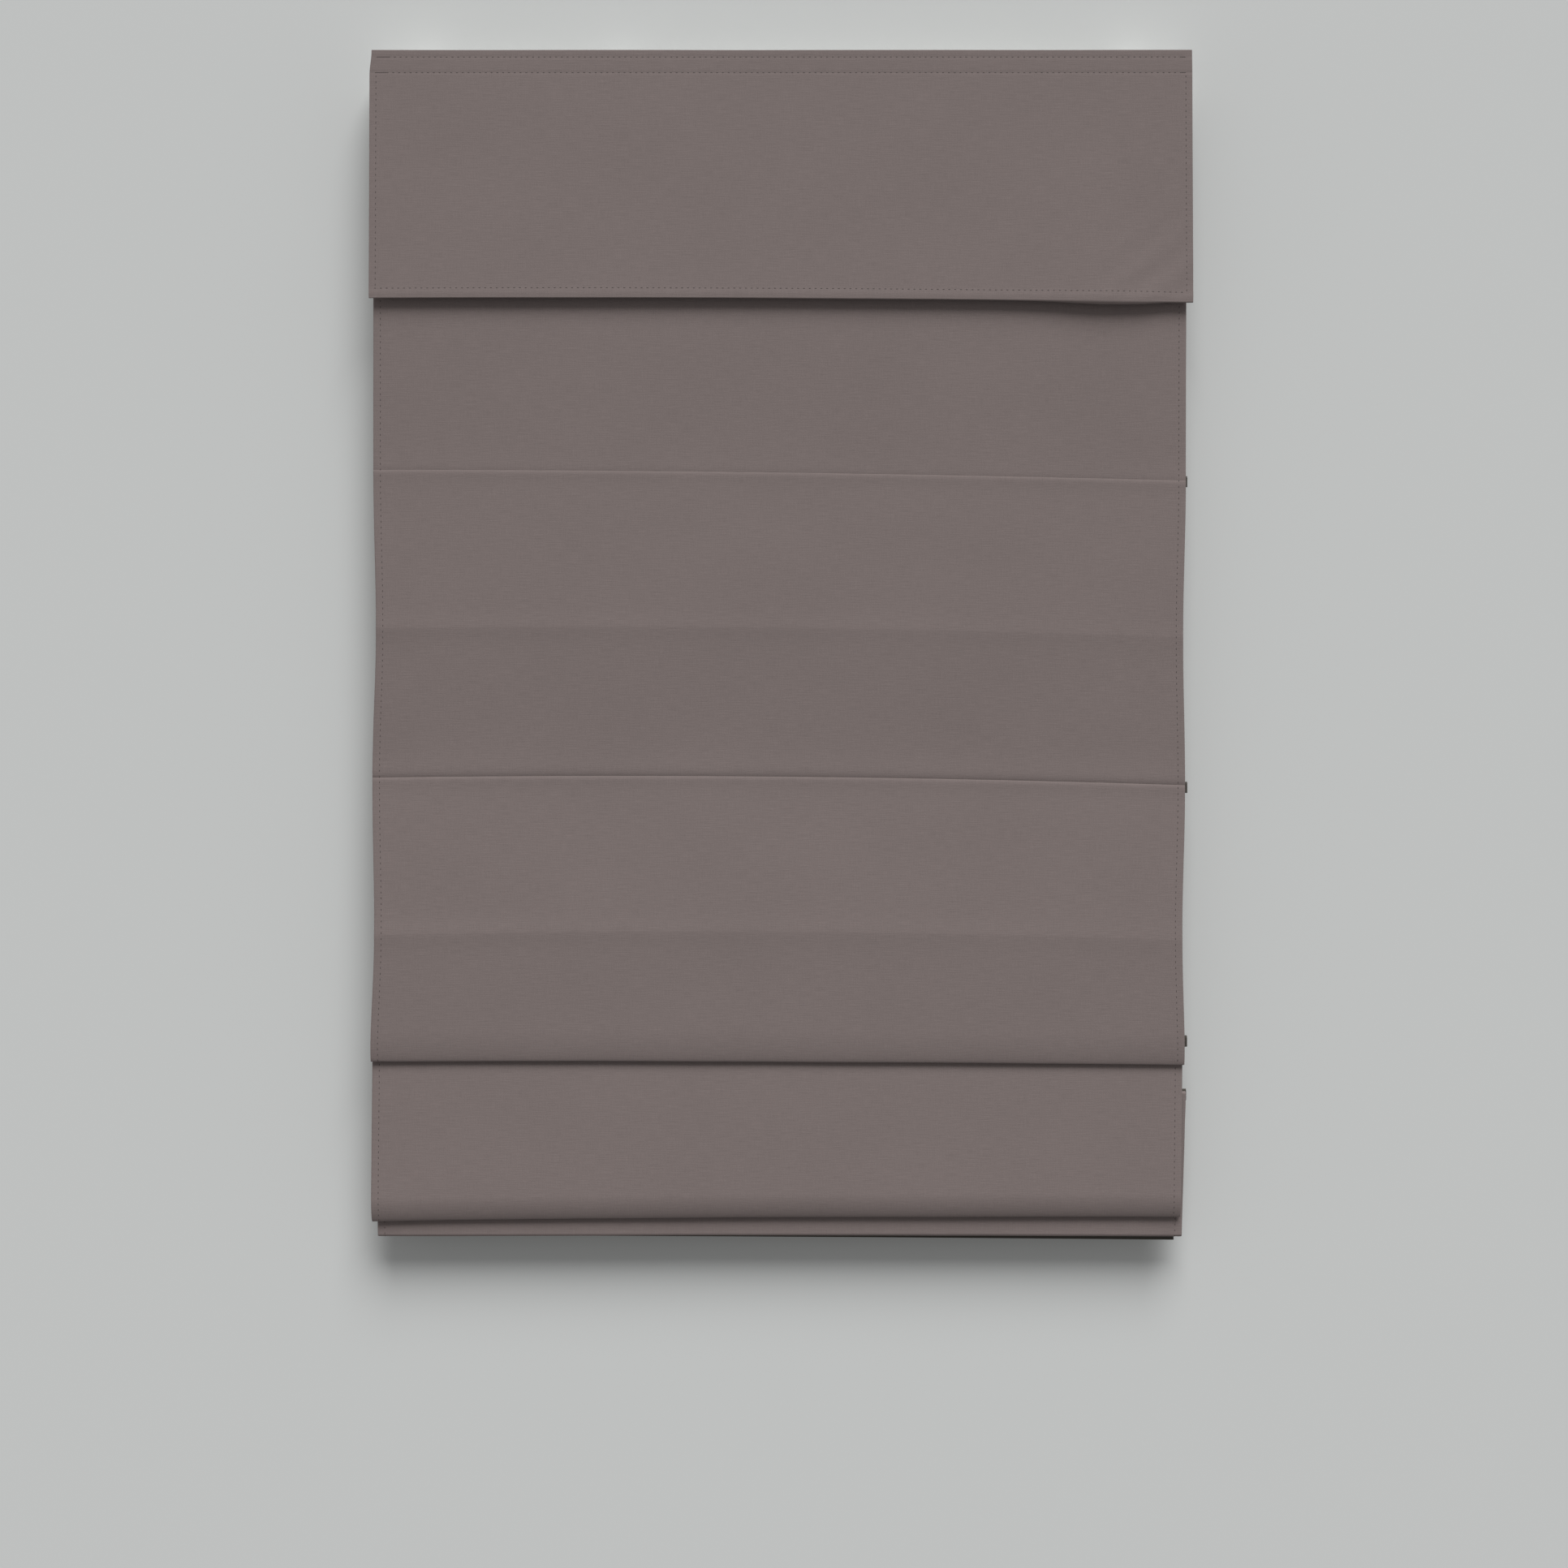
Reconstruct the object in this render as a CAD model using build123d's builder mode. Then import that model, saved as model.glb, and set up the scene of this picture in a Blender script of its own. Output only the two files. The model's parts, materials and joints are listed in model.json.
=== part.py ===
from build123d import *
import os
from math import atan2, hypot, pi, radians, tan

# Roman blind with a flat valance, fixed to a wall and hanging three quarters down.
#
# Millimetres. The origin is the middle of the wall brackets' screw holes, on the
# wall. +Z is up, the wall is the plane Y = 0, and the room is on the -Y side.
# Heights are given as drops below the top edge of the valance.

# Headrail and its wall brackets
RAIL_INSET = 5.0
RAIL_DEPTH = 47.0
RAIL_HEIGHT = 44.0
RAIL_WALL = 0.9
RAIL_LIP = 7.0
RAIL_CORNER = 2.5
RAIL_STANDOFF = 6.0
RAIL_TOP_DROP = 2.0
CAP_WALL = 2.4
CAP_CORNER = 3.0
CAP_PLUG = 9.0
CAP_PLUG_WALL = 1.5
CAP_PLAY = 0.2
BRACKET_INSET = 50.0
BRACKET_WIDTH = 32.0
BRACKET_SHEET = 1.2
BRACKET_BEND = 2.0
BRACKET_PLAY = 0.2
BRACKET_HOOK = 3.0
BRACKET_LEDGE = 11.0
SCREW_SPACING = 18.0
SCREW_HOLE = 5.0

# Cloth, its hems, and the hook and loop tapes
PANEL_WIDTH = 888.0
PANEL_TOP_DROP = 1.0
FACE_CLOTH = 0.7
LINING_CLOTH = 0.4
LAYER_PLAY = 0.1
SIDE_HEM = 20.0
EDGE_FOLD = 1.4
LINING_INSET = 8.0
VALANCE_REACH = 4.0
VALANCE_HEIGHT = 269.0
VALANCE_FLARE = 5.0
VALANCE_TOP_HEM = 27.0
VALANCE_HEM = 11.0
TAPE = 1.2
TAPE_WIDTH = 20.0
TAPE_CORNER = 1.0
TAPE_DROP = 5.5
TAPE_INSET = 22.0

# Folds of the panel. The cloth from one batten to the next always measures one pitch.
FIRST_BATTEN_DROP = 458.9
FIRST_RIDGE_DROP = 631.3
SECOND_BATTEN_DROP = 793.5
SECOND_RIDGE_DROP = 964.1
FOLD_DROP = 1100.1
LOOP_DROP = 1269.5
BATTEN_PITCH = 335.0
LAST_PANEL = 156.8
PANEL_LEAN = 3.7
FIRST_RIDGE_PROUD = 4.0
SECOND_RIDGE_PROUD = 9.0
LOOP_PROUD = 6.0
THIRD_BATTEN_BACK = 1.7
FOURTH_BATTEN_BACK = 9.2
FOLD_SHOULDER = 24.0
FOLD_SLANT = 32.0
FOLD_RADIUS = 2.4
SHOULDER_SHARE = 0.3
SHOULDER_RADIUS = 80.0
BELLY_RADIUS = 6.0
CREASE_GAP = 3.2
CREASE_RADIUS = 1.5
VALLEY_RADIUS = 2.5
RIDGE_RADIUS = 12.0
TOP_BEND_RADIUS = 60.0

# How much lower each crease lies at the right edge of the cloth than at the left
FIRST_BATTEN_TILT = 11.5
FIRST_RIDGE_TILT = 11.5
SECOND_BATTEN_TILT = 8.0
SECOND_RIDGE_TILT = 9.0
FOLD_TILT = 2.0
LOOP_TILT = -2.9
VALANCE_TILT = 3.5
LINING_TILT = 5.0

# Battens in their pockets, cord rings, and the bottom bar in the hem
ROD = 5.0
ROD_INSET = 3.0
POCKET_INSET = 1.0
POCKET_PLAY = 0.2
POCKET_CLOTH = 0.7
POCKET_SEAM = 5.5
RING_OUTER = 10.0
RING_INNER = 7.0
RING_HEIGHT = 2.0
RING_SEAT = 0.3
HEM_HEIGHT = 30.0
HEM_DEPTH = 6.4
HEM_RADIUS = 3.1
LINING_STEP = 12.0
LINING_STEP_ABOVE = 2.0
LINING_OVERHANG = 1.9
BAR_HEIGHT = 20.0
BAR_SHEET = 3.2
BAR_ROUND = 1.0
BAR_INSET = 24.0
BAR_SEAT = 0.5
TIP_LENGTH = 12.0
TIP_WALL = 0.5
TIP_PLAY = 0.1

# Lift cords, spools, cradles and shaft
CORD = 1.4
CORD_INSET = 94.0
CORD_BEND = 40.0
CORD_SEAT = 0.3
WOUND_LENGTH = 14.0
WOUND_PLAY = 0.15
SPOOL_BARREL = 13.0
SPOOL_FLANGE = 18.4
SPOOL_LENGTH = 48.0
SPOOL_WALL = 2.0
SPOOL_JOURNAL = 9.0
RUNNING_PLAY = 0.06
END_PLAY = 0.4
SHAFT = 5.0
SHAFT_CHAMFER = 0.5
SHAFT_PLAY = 0.05
SHAFT_OVERHANG = 4.0
SHAFT_RISE = 15.0
CRADLE_WALL = 2.5
CRADLE_FLOOR = 1.5
CRADLE_WIDTH = 26.0
CRADLE_CORNER = 2.0
CRADLE_ABOVE = 8.0
EXIT_TUBE = 8.0
EXIT_BORE = 3.0
EXIT_LENGTH = 1.5
EXIT_PLAY = 0.2

# Spring motor
MOTOR_X = -175.0
MOTOR_LENGTH = 34.0
MOTOR_WALL = 1.4
MOTOR_FOOT = 2.0
MOTOR_PLAY = 0.4
MOTOR_COVER = 1.6
MOTOR_HEAD_ROOM = 2.6
COVER_TONGUE = 3.0
OUTPUT_BARREL = 13.0
OUTPUT_JOURNAL = 10.0
STORAGE_BACK = 14.4
STORAGE_RISE = 13.4
STORAGE_BARREL = 8.4
STORAGE_FLANGE = 17.0
STORAGE_JOURNAL = 5.0
DRUM_WALL = 1.5
SPRING_SHEET = 0.3
SPRING_STORED = 15.0
SPRING_WRAPPED = 14.2
SPRING_PLAY = 0.1

# The rail ends inside the panel's edges, and the valance reaches past them
RAIL_LENGTH = PANEL_WIDTH - 2 * RAIL_INSET
VALANCE_WIDTH = PANEL_WIDTH + 2 * VALANCE_REACH

# Places of the rail and its brackets
TOP = RAIL_HEIGHT / 2 + RAIL_TOP_DROP
RAIL_TOP = TOP - RAIL_TOP_DROP
RAIL_BOTTOM = RAIL_TOP - RAIL_HEIGHT
RAIL_FLOOR = RAIL_BOTTOM + RAIL_WALL
RAIL_BACK = -RAIL_STANDOFF
RAIL_FRONT = RAIL_BACK - RAIL_DEPTH
RAIL_MIDDLE = ((RAIL_FRONT + RAIL_BACK) / 2, (RAIL_TOP + RAIL_BOTTOM) / 2)
BRACKET_X = RAIL_LENGTH / 2 - BRACKET_INSET

# Distances of the cloth's layers behind its front
HEM_FRONT = FACE_CLOTH + LAYER_PLAY
HEM_BACK = HEM_FRONT + FACE_CLOTH
LINING_FRONT = HEM_BACK + LAYER_PLAY
LINING_BACK = LINING_FRONT + LINING_CLOTH
POCKET_FRONT = LINING_BACK + LAYER_PLAY

# Depths of the cloth's front at the tapes and at the four battens
PANEL_TOP_Y = RAIL_FRONT - 2 * TAPE - POCKET_FRONT
VALANCE_FRONT = PANEL_TOP_Y - 2 * TAPE - HEM_BACK
BATTEN_PLANE = PANEL_TOP_Y + PANEL_LEAN
THIRD_PLANE = BATTEN_PLANE + THIRD_BATTEN_BACK
FOURTH_PLANE = BATTEN_PLANE + FOURTH_BATTEN_BACK
PLANES = (BATTEN_PLANE, BATTEN_PLANE, THIRD_PLANE, FOURTH_PLANE)
HALF_CREASE = CREASE_GAP / 2 - CREASE_RADIUS * (2 - pi / 2)

# Places of the battens, cords, shaft and motor
POCKET_BORE = ROD / 2 + POCKET_PLAY
POCKET_RADIUS = POCKET_BORE + POCKET_CLOTH
ROD_BEHIND = POCKET_FRONT + POCKET_RADIUS
CORD_BEHIND = ROD_BEHIND + POCKET_RADIUS + RING_SEAT + RING_OUTER / 2
CORD_Y = BATTEN_PLANE + CORD_BEHIND
CORD_X = PANEL_WIDTH / 2 - CORD_INSET
COLUMNS = {"left": -CORD_X, "centre": 0.0, "right": CORD_X}
WOUND_INNER = SPOOL_BARREL / 2 + WOUND_PLAY
SHAFT_Y = CORD_Y + WOUND_INNER + CORD / 2
SHAFT_Z = RAIL_BOTTOM + SHAFT_RISE
SHAFT_BORE = SHAFT + 2 * SHAFT_PLAY
CRADLE_INNER = SPOOL_LENGTH / 2 + SPOOL_WALL + END_PLAY
CRADLE_HALF = CRADLE_INNER + CRADLE_WALL
STORAGE_Y = SHAFT_Y + STORAGE_BACK
STORAGE_Z = SHAFT_Z + STORAGE_RISE
MOTOR_DEPTH = RAIL_DEPTH - 2 * (RAIL_WALL + MOTOR_PLAY)
MOTOR_TOP = RAIL_TOP - MOTOR_HEAD_ROOM - MOTOR_COVER
MOTOR_INNER = MOTOR_LENGTH / 2 - MOTOR_WALL
DRUM_LENGTH = 2 * (MOTOR_INNER - END_PLAY - DRUM_WALL)
BAR_REACH = PANEL_WIDTH / 2 - BAR_INSET

os.makedirs("parts", exist_ok=True)

# Runs. A run is a sheet's path seen from the end: its (y, z) corners, and the
# radius of each inner corner. A sheet lies between two distances left of its run.


def turn_angle(before, here, after):
    """The angle turned at a corner in radians, positive to the left."""
    first = atan2(here[1] - before[1], here[0] - before[0])
    second = atan2(after[1] - here[1], after[0] - here[0])
    return (second - first + pi) % (2 * pi) - pi


def run_length(corners, radii):
    """The length along a run with rounded corners."""
    total = sum(hypot(b[0] - a[0], b[1] - a[1]) for a, b in zip(corners, corners[1:]))
    for before, here, after, radius in zip(corners, corners[1:], corners[2:], radii):
        angle = abs(turn_angle(before, here, after))
        total -= radius * (2 * tan(angle / 2) - angle)
    return total


def shifted(corners, radii, distance):
    """The run moved sideways, to the left of its direction."""
    normals = []
    for a, b in zip(corners, corners[1:]):
        length = hypot(b[0] - a[0], b[1] - a[1])
        normals.append(((a[1] - b[1]) / length, (b[0] - a[0]) / length))
    moved = []
    for (y, z), one, two in zip(corners, [normals[0]] + normals, normals + [normals[-1]]):
        share = distance / (1 + one[0] * two[0] + one[1] * two[1])
        moved.append((y + share * (one[0] + two[0]), z + share * (one[1] + two[1])))
    new_radii = []
    for before, here, after, radius in zip(corners, corners[1:], corners[2:], radii):
        side = 1 if turn_angle(before, here, after) > 0 else -1
        new_radii.append(radius - side * distance)
    return moved, new_radii


def rounded_line(corners, radii):
    """Draw a run, rounded at its inner corners if it has any."""
    if radii:
        FilletPolyline(*corners, radius=radii)
    else:
        Line(*corners)


def sheet_section(x, run, near, far):
    """The closed section of a sheet at a place across the width."""
    front, front_radii = shifted(*run, near)
    back, back_radii = shifted(*run, far)
    with BuildSketch(Plane.YZ.offset(x)) as section:
        with BuildLine():
            rounded_line(front, front_radii)
            Line(front[-1], back[-1])
            rounded_line(back[::-1], back_radii[::-1])
            Line(back[0], front[0])
        make_face()
    return section.sketch


def cloth_layer(run_at, start, end, near, far):
    """Add one layer of cloth between two places across the width."""
    sections = [sheet_section(x, run_at(x), near, far) for x in sorted((start, end))]
    loft(sections, ruled=True)


def side_hems(edge_run_at, hem_run_at, width, hem):
    """Fold both side edges of a cloth behind it."""
    for side in (-1, 1):
        edge = side * width / 2
        fold = side * (width / 2 - EDGE_FOLD)
        cloth_layer(edge_run_at, edge, fold, 0, HEM_BACK)
        cloth_layer(hem_run_at, fold, side * (width / 2 - hem), HEM_FRONT, HEM_BACK)


# How the panel hangs


def height(x, drop, tilt):
    """The height of a crease at a place across the width."""
    return TOP - drop - tilt * x / PANEL_WIDTH


def hanging_fold(front, rear, bottom):
    """A full belly in front, a tight turn under it and a straight rear."""
    depth = rear - front
    slant = radians(FOLD_SLANT)
    corner = bottom + FOLD_RADIUS - FOLD_RADIUS * tan((pi - slant) / 2)
    belly = corner + (1 - SHOULDER_SHARE) * depth / tan(slant)
    corners = [
        (front, bottom + FOLD_SHOULDER),
        (front + SHOULDER_SHARE * depth, belly),
        (rear, corner),
    ]
    return corners, [SHOULDER_RADIUS, BELLY_RADIUS, FOLD_RADIUS]


def crease_after(start, corners, radii):
    """The height at which the cloth behind a fold has used up one pitch."""
    rear, corner = corners[-1]
    end = (rear, corner + FOLD_SHOULDER)
    used = run_length([start] + corners + [end], radii)
    return end[1] + BATTEN_PITCH - used - HALF_CREASE


def hang(x):
    """The face cloth's run, the heights of its four battens, and its hem's height."""
    first = height(x, FIRST_BATTEN_DROP, FIRST_BATTEN_TILT)
    first_ridge = height(x, FIRST_RIDGE_DROP, FIRST_RIDGE_TILT)
    second = height(x, SECOND_BATTEN_DROP, SECOND_BATTEN_TILT)
    second_ridge = height(x, SECOND_RIDGE_DROP, SECOND_RIDGE_TILT)
    corners = [
        (PANEL_TOP_Y, TOP - PANEL_TOP_DROP),
        (PANEL_TOP_Y, RAIL_TOP - TAPE_DROP - TAPE_WIDTH),
        (BATTEN_PLANE, first),
        (BATTEN_PLANE - FIRST_RIDGE_PROUD, first_ridge),
        (BATTEN_PLANE, second),
    ]
    radii = [TOP_BEND_RADIUS, VALLEY_RADIUS, RIDGE_RADIUS, VALLEY_RADIUS]

    front, rear = BATTEN_PLANE - SECOND_RIDGE_PROUD, THIRD_PLANE - CREASE_GAP
    fold, fold_radii = hanging_fold(front, rear, height(x, FOLD_DROP, FOLD_TILT))
    fold = [(front, second_ridge)] + fold
    fold_radii = [RIDGE_RADIUS] + fold_radii
    third = crease_after(corners[-1], fold, fold_radii)
    corners += fold + [(rear, third), (THIRD_PLANE, third)]
    radii += fold_radii + [CREASE_RADIUS, CREASE_RADIUS]

    front, rear = THIRD_PLANE - LOOP_PROUD, FOURTH_PLANE - CREASE_GAP
    loop, loop_radii = hanging_fold(front, rear, height(x, LOOP_DROP, LOOP_TILT))
    fourth = crease_after(corners[-1], loop, loop_radii) - HALF_CREASE
    corners += loop + [(rear, fourth), (FOURTH_PLANE, fourth)]
    radii += loop_radii + [CREASE_RADIUS, CREASE_RADIUS]

    hem = fourth - LAST_PANEL + HALF_CREASE
    corners += [
        (FOURTH_PLANE, hem),
        (FOURTH_PLANE + HEM_DEPTH, hem),
        (FOURTH_PLANE + HEM_DEPTH, hem + HEM_HEIGHT),
    ]
    radii += [HEM_RADIUS, HEM_RADIUS]
    return (corners, radii), (first, second, third, fourth), hem


def panel_run(x):
    """The face cloth, from its top edge round the bottom hem."""
    return hang(x)[0]


def lining_run(x):
    """The lining follows the face cloth, then drops behind the bottom hem."""
    (corners, radii), _, hem = hang(x)
    behind_hem = FOURTH_PLANE + HEM_DEPTH + LAYER_PLAY - LINING_FRONT
    step_bottom = hem + HEM_HEIGHT + LINING_STEP_ABOVE
    tail = [
        (FOURTH_PLANE, step_bottom + LINING_STEP),
        (behind_hem, step_bottom),
        (behind_hem, hem - LINING_OVERHANG - LINING_TILT * x / PANEL_WIDTH),
    ]
    return corners[: -len(tail)] + tail, radii


def batten_height(number, x):
    """The height of a batten, counted from 1, at a place across the width."""
    return hang(x)[1][number - 1]


# How the valance hangs


def valance_front(x):
    """The valance's front from its top edge to its bottom edge."""
    bottom = TOP - VALANCE_HEIGHT - VALANCE_TILT * x / VALANCE_WIDTH
    bend = TOP - VALANCE_TOP_HEM
    corners = [
        (VALANCE_FRONT, TOP),
        (VALANCE_FRONT, bend),
        (VALANCE_FRONT - VALANCE_FLARE, bottom),
    ]
    return corners, [TOP_BEND_RADIUS]


def valance_point(x, z):
    """A point on the flared stretch of the valance's front."""
    _, bend, bottom = valance_front(x)[0]
    return bend[0] + (bottom[0] - bend[0]) * (bend[1] - z) / (bend[1] - bottom[1]), z


def valance_run(x):
    """The valance's cloth, folded down behind its top and up behind its bottom."""
    top, bend, bottom = valance_front(x)[0]
    hem_y, hem_z = valance_point(x, bottom[1] + VALANCE_HEM)
    turn = (HEM_BACK - LAYER_PLAY / 2) / 2
    corners = [
        (top[0] + HEM_BACK, bend[1] + LAYER_PLAY),
        (top[0] + HEM_BACK, top[1]),
        top,
        bend,
        bottom,
        (bottom[0] + HEM_BACK, bottom[1]),
        (hem_y + HEM_BACK, hem_z),
    ]
    return corners, [turn, turn, TOP_BEND_RADIUS, turn, turn]


def valance_hem_run(x):
    """The stretch that the side hems cover, between the top and bottom hems."""
    _, bend, bottom = valance_front(x)[0]
    upper = valance_point(x, bend[1] - LAYER_PLAY)
    lower = valance_point(x, bottom[1] + VALANCE_HEM + LAYER_PLAY)
    return [upper, lower], []


# Valance: one cloth hemmed on all four sides

with BuildPart() as valance:
    inner_edge = VALANCE_WIDTH / 2 - EDGE_FOLD
    cloth_layer(valance_run, -inner_edge, inner_edge, 0, FACE_CLOTH)
    side_hems(valance_front, valance_hem_run, VALANCE_WIDTH, VALANCE_HEM)
valance.part.label = "valance"
export_step(valance.part, "parts/valance.step")

# Face panel: one cloth from the headrail down to the bottom hem, side hems included

with BuildPart() as face_panel:
    inner_edge = PANEL_WIDTH / 2 - EDGE_FOLD
    cloth_layer(panel_run, -inner_edge, inner_edge, 0, FACE_CLOTH)
    side_hems(panel_run, panel_run, PANEL_WIDTH, SIDE_HEM)
face_panel.part.label = "face_panel"
export_step(face_panel.part, "parts/face_panel.step")

# Lining: the back cloth, laid over the side hems

with BuildPart() as lining:
    lining_edge = PANEL_WIDTH / 2 - LINING_INSET
    cloth_layer(lining_run, -lining_edge, lining_edge, LINING_FRONT, LINING_BACK)
lining.part.label = "lining"
export_step(lining.part, "parts/lining.step")

# Hook and loop tapes, from the rail outwards: name, length, and the depth of the back

tapes = (
    ("rail_hook_tape", RAIL_LENGTH - TAPE_INSET, RAIL_FRONT),
    ("panel_loop_tape", RAIL_LENGTH - TAPE_INSET, RAIL_FRONT - TAPE),
    ("panel_hook_tape", PANEL_WIDTH - TAPE_INSET, PANEL_TOP_Y),
    ("valance_loop_tape", PANEL_WIDTH - TAPE_INSET, PANEL_TOP_Y - TAPE),
)
for name, length, back in tapes:
    with BuildPart() as tape:
        with BuildSketch(Plane.XZ.offset(-back)):
            with Locations((0, RAIL_TOP - TAPE_DROP - TAPE_WIDTH / 2)):
                RectangleRounded(length, TAPE_WIDTH, TAPE_CORNER)
        extrude(amount=TAPE)
    tape.part.label = name
    export_step(tape.part, f"parts/{name}.step")

# Headrail: a channel with inturned lips along its open top

with BuildPart() as headrail:
    with BuildSketch(Plane.YZ.offset(-RAIL_LENGTH / 2)):
        with Locations(RAIL_MIDDLE):
            RectangleRounded(RAIL_DEPTH, RAIL_HEIGHT, RAIL_CORNER)
            inner = (RAIL_DEPTH - 2 * RAIL_WALL, RAIL_HEIGHT - 2 * RAIL_WALL)
            RectangleRounded(*inner, RAIL_CORNER - RAIL_WALL, mode=Mode.SUBTRACT)
        with Locations((RAIL_MIDDLE[0], RAIL_TOP)):
            opening = RAIL_DEPTH - 2 * RAIL_LIP
            Rectangle(opening, 2 * RAIL_CORNER, mode=Mode.SUBTRACT)
    extrude(amount=RAIL_LENGTH)
    with BuildSketch(Plane.XY.offset(RAIL_BOTTOM)):
        with Locations(*[(x, CORD_Y) for x in COLUMNS.values()]):
            Circle(EXIT_TUBE / 2 + EXIT_PLAY)
    extrude(amount=RAIL_WALL, mode=Mode.SUBTRACT)
headrail.part.label = "headrail"
export_step(headrail.part, "parts/headrail.step")

# End caps: a rounded plate with a hollow plug that fits inside the rail's end

for name, side in (("left", -1), ("right", 1)):
    with BuildPart() as end_cap:
        with BuildSketch(Plane.YZ.offset(side * RAIL_LENGTH / 2)):
            with Locations(RAIL_MIDDLE):
                RectangleRounded(RAIL_DEPTH, RAIL_HEIGHT, CAP_CORNER)
        extrude(amount=side * CAP_WALL)
        with BuildSketch(Plane.YZ.offset(side * RAIL_LENGTH / 2)):
            depth = RAIL_DEPTH - 2 * (RAIL_WALL + CAP_PLAY)
            tall = RAIL_HEIGHT - 2 * (RAIL_WALL + CAP_PLAY)
            with Locations(RAIL_MIDDLE):
                RectangleRounded(depth, tall, RAIL_CORNER - RAIL_WALL)
                inner = (depth - 2 * CAP_PLUG_WALL, tall - 2 * CAP_PLUG_WALL)
                Rectangle(*inner, mode=Mode.SUBTRACT)
        extrude(amount=-side * CAP_PLUG)
    end_cap.part.label = f"end_cap_{name}"
    export_step(end_cap.part, f"parts/end_cap_{name}.step")

# Wall brackets: one folded strip, hooked over the rail's front, with a ledge under it

bracket_top = RAIL_TOP + BRACKET_PLAY + BRACKET_SHEET
bracket_bottom = RAIL_BOTTOM - BRACKET_PLAY - BRACKET_SHEET
bracket_front = RAIL_FRONT - BRACKET_PLAY - BRACKET_SHEET
bracket_corners = [
    (bracket_front, RAIL_TOP - BRACKET_HOOK),
    (bracket_front, bracket_top),
    (0, bracket_top),
    (0, bracket_bottom),
    (RAIL_BACK - BRACKET_LEDGE, bracket_bottom),
]
bracket_run = (bracket_corners, [BRACKET_BEND, BRACKET_BEND, BRACKET_BEND])
for name, x in (("left", -BRACKET_X), ("right", BRACKET_X)):
    with BuildPart() as wall_bracket:
        strip_end = sheet_section(x - BRACKET_WIDTH / 2, bracket_run, -BRACKET_SHEET, 0)
        extrude(strip_end, amount=BRACKET_WIDTH)
        with BuildSketch(Plane.XZ):
            with Locations((x, SCREW_SPACING / 2), (x, -SCREW_SPACING / 2)):
                Circle(SCREW_HOLE / 2)
        extrude(amount=BRACKET_SHEET, mode=Mode.SUBTRACT)
    wall_bracket.part.label = f"wall_bracket_{name}"
    export_step(wall_bracket.part, f"parts/wall_bracket_{name}.step")

# Battens: a round rod along each crease, in a pocket whose seam lies below it


def batten_point(number, x):
    """A point on a batten's rod."""
    return Vector(x, PLANES[number - 1] + ROD_BEHIND, batten_height(number, x))


for number in (1, 2, 3, 4):
    with BuildPart() as batten_rod:
        reach = PANEL_WIDTH / 2 - ROD_INSET
        rod_start = batten_point(number, -reach)
        rod_way = batten_point(number, reach) - rod_start
        with BuildSketch(Plane(origin=rod_start, z_dir=rod_way)):
            Circle(ROD / 2)
        extrude(amount=rod_way.length)
    batten_rod.part.label = f"batten_rod_{number}"
    export_step(batten_rod.part, f"parts/batten_rod_{number}.step")

    with BuildPart() as batten_pocket:
        reach = PANEL_WIDTH / 2 - POCKET_INSET
        pocket_start = batten_point(number, -reach)
        pocket_way = batten_point(number, reach) - pocket_start
        with BuildSketch(Plane.YZ.offset(-reach)):
            with Locations((pocket_start.Y, pocket_start.Z)):
                Circle(POCKET_RADIUS)
            with Locations((pocket_start.Y - POCKET_RADIUS, pocket_start.Z)):
                seam = (2 * POCKET_CLOTH, POCKET_RADIUS + POCKET_SEAM)
                Rectangle(*seam, align=(Align.MIN, Align.MAX))
            with Locations((pocket_start.Y, pocket_start.Z)):
                Circle(POCKET_BORE, mode=Mode.SUBTRACT)
        extrude(amount=pocket_way.length, dir=pocket_way)
    batten_pocket.part.label = f"batten_pocket_{number}"
    export_step(batten_pocket.part, f"parts/batten_pocket_{number}.step")

    for name, x in COLUMNS.items():
        with BuildPart() as cord_ring:
            ring_bottom = batten_height(number, x) - RING_HEIGHT / 2
            with BuildSketch(Plane.XY.offset(ring_bottom)):
                with Locations((x, PLANES[number - 1] + CORD_BEHIND)):
                    Circle(RING_OUTER / 2)
                    Circle(RING_INNER / 2, mode=Mode.SUBTRACT)
            extrude(amount=RING_HEIGHT)
        cord_ring.part.label = f"cord_ring_{number}_{name}"
        export_step(cord_ring.part, f"parts/cord_ring_{number}_{name}.step")

# Bottom bar in the hem, with a thin cup pushed over each end


def bar_middle(x):
    """The middle of the bar's section at a place across the width."""
    floor = hang(x)[2] + FACE_CLOTH + BAR_SEAT + TIP_WALL + TIP_PLAY
    return Vector(x, FOURTH_PLANE + HEM_DEPTH / 2, floor + BAR_HEIGHT / 2)


def bar_section(x, skin):
    """The bar's rounded section, grown by a skin, at a place across the width."""
    middle = bar_middle(x)
    with BuildSketch(Plane.YZ.offset(x)) as section:
        with Locations((middle.Y, middle.Z)):
            size = (BAR_SHEET + 2 * skin, BAR_HEIGHT + 2 * skin)
            RectangleRounded(*size, BAR_ROUND + skin)
    return section.sketch


bar_way = bar_middle(BAR_REACH) - bar_middle(-BAR_REACH)

with BuildPart() as bottom_bar:
    extrude(bar_section(-BAR_REACH, 0), amount=bar_way.length, dir=bar_way)
bottom_bar.part.label = "bottom_bar"
export_step(bottom_bar.part, "parts/bottom_bar.step")

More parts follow.
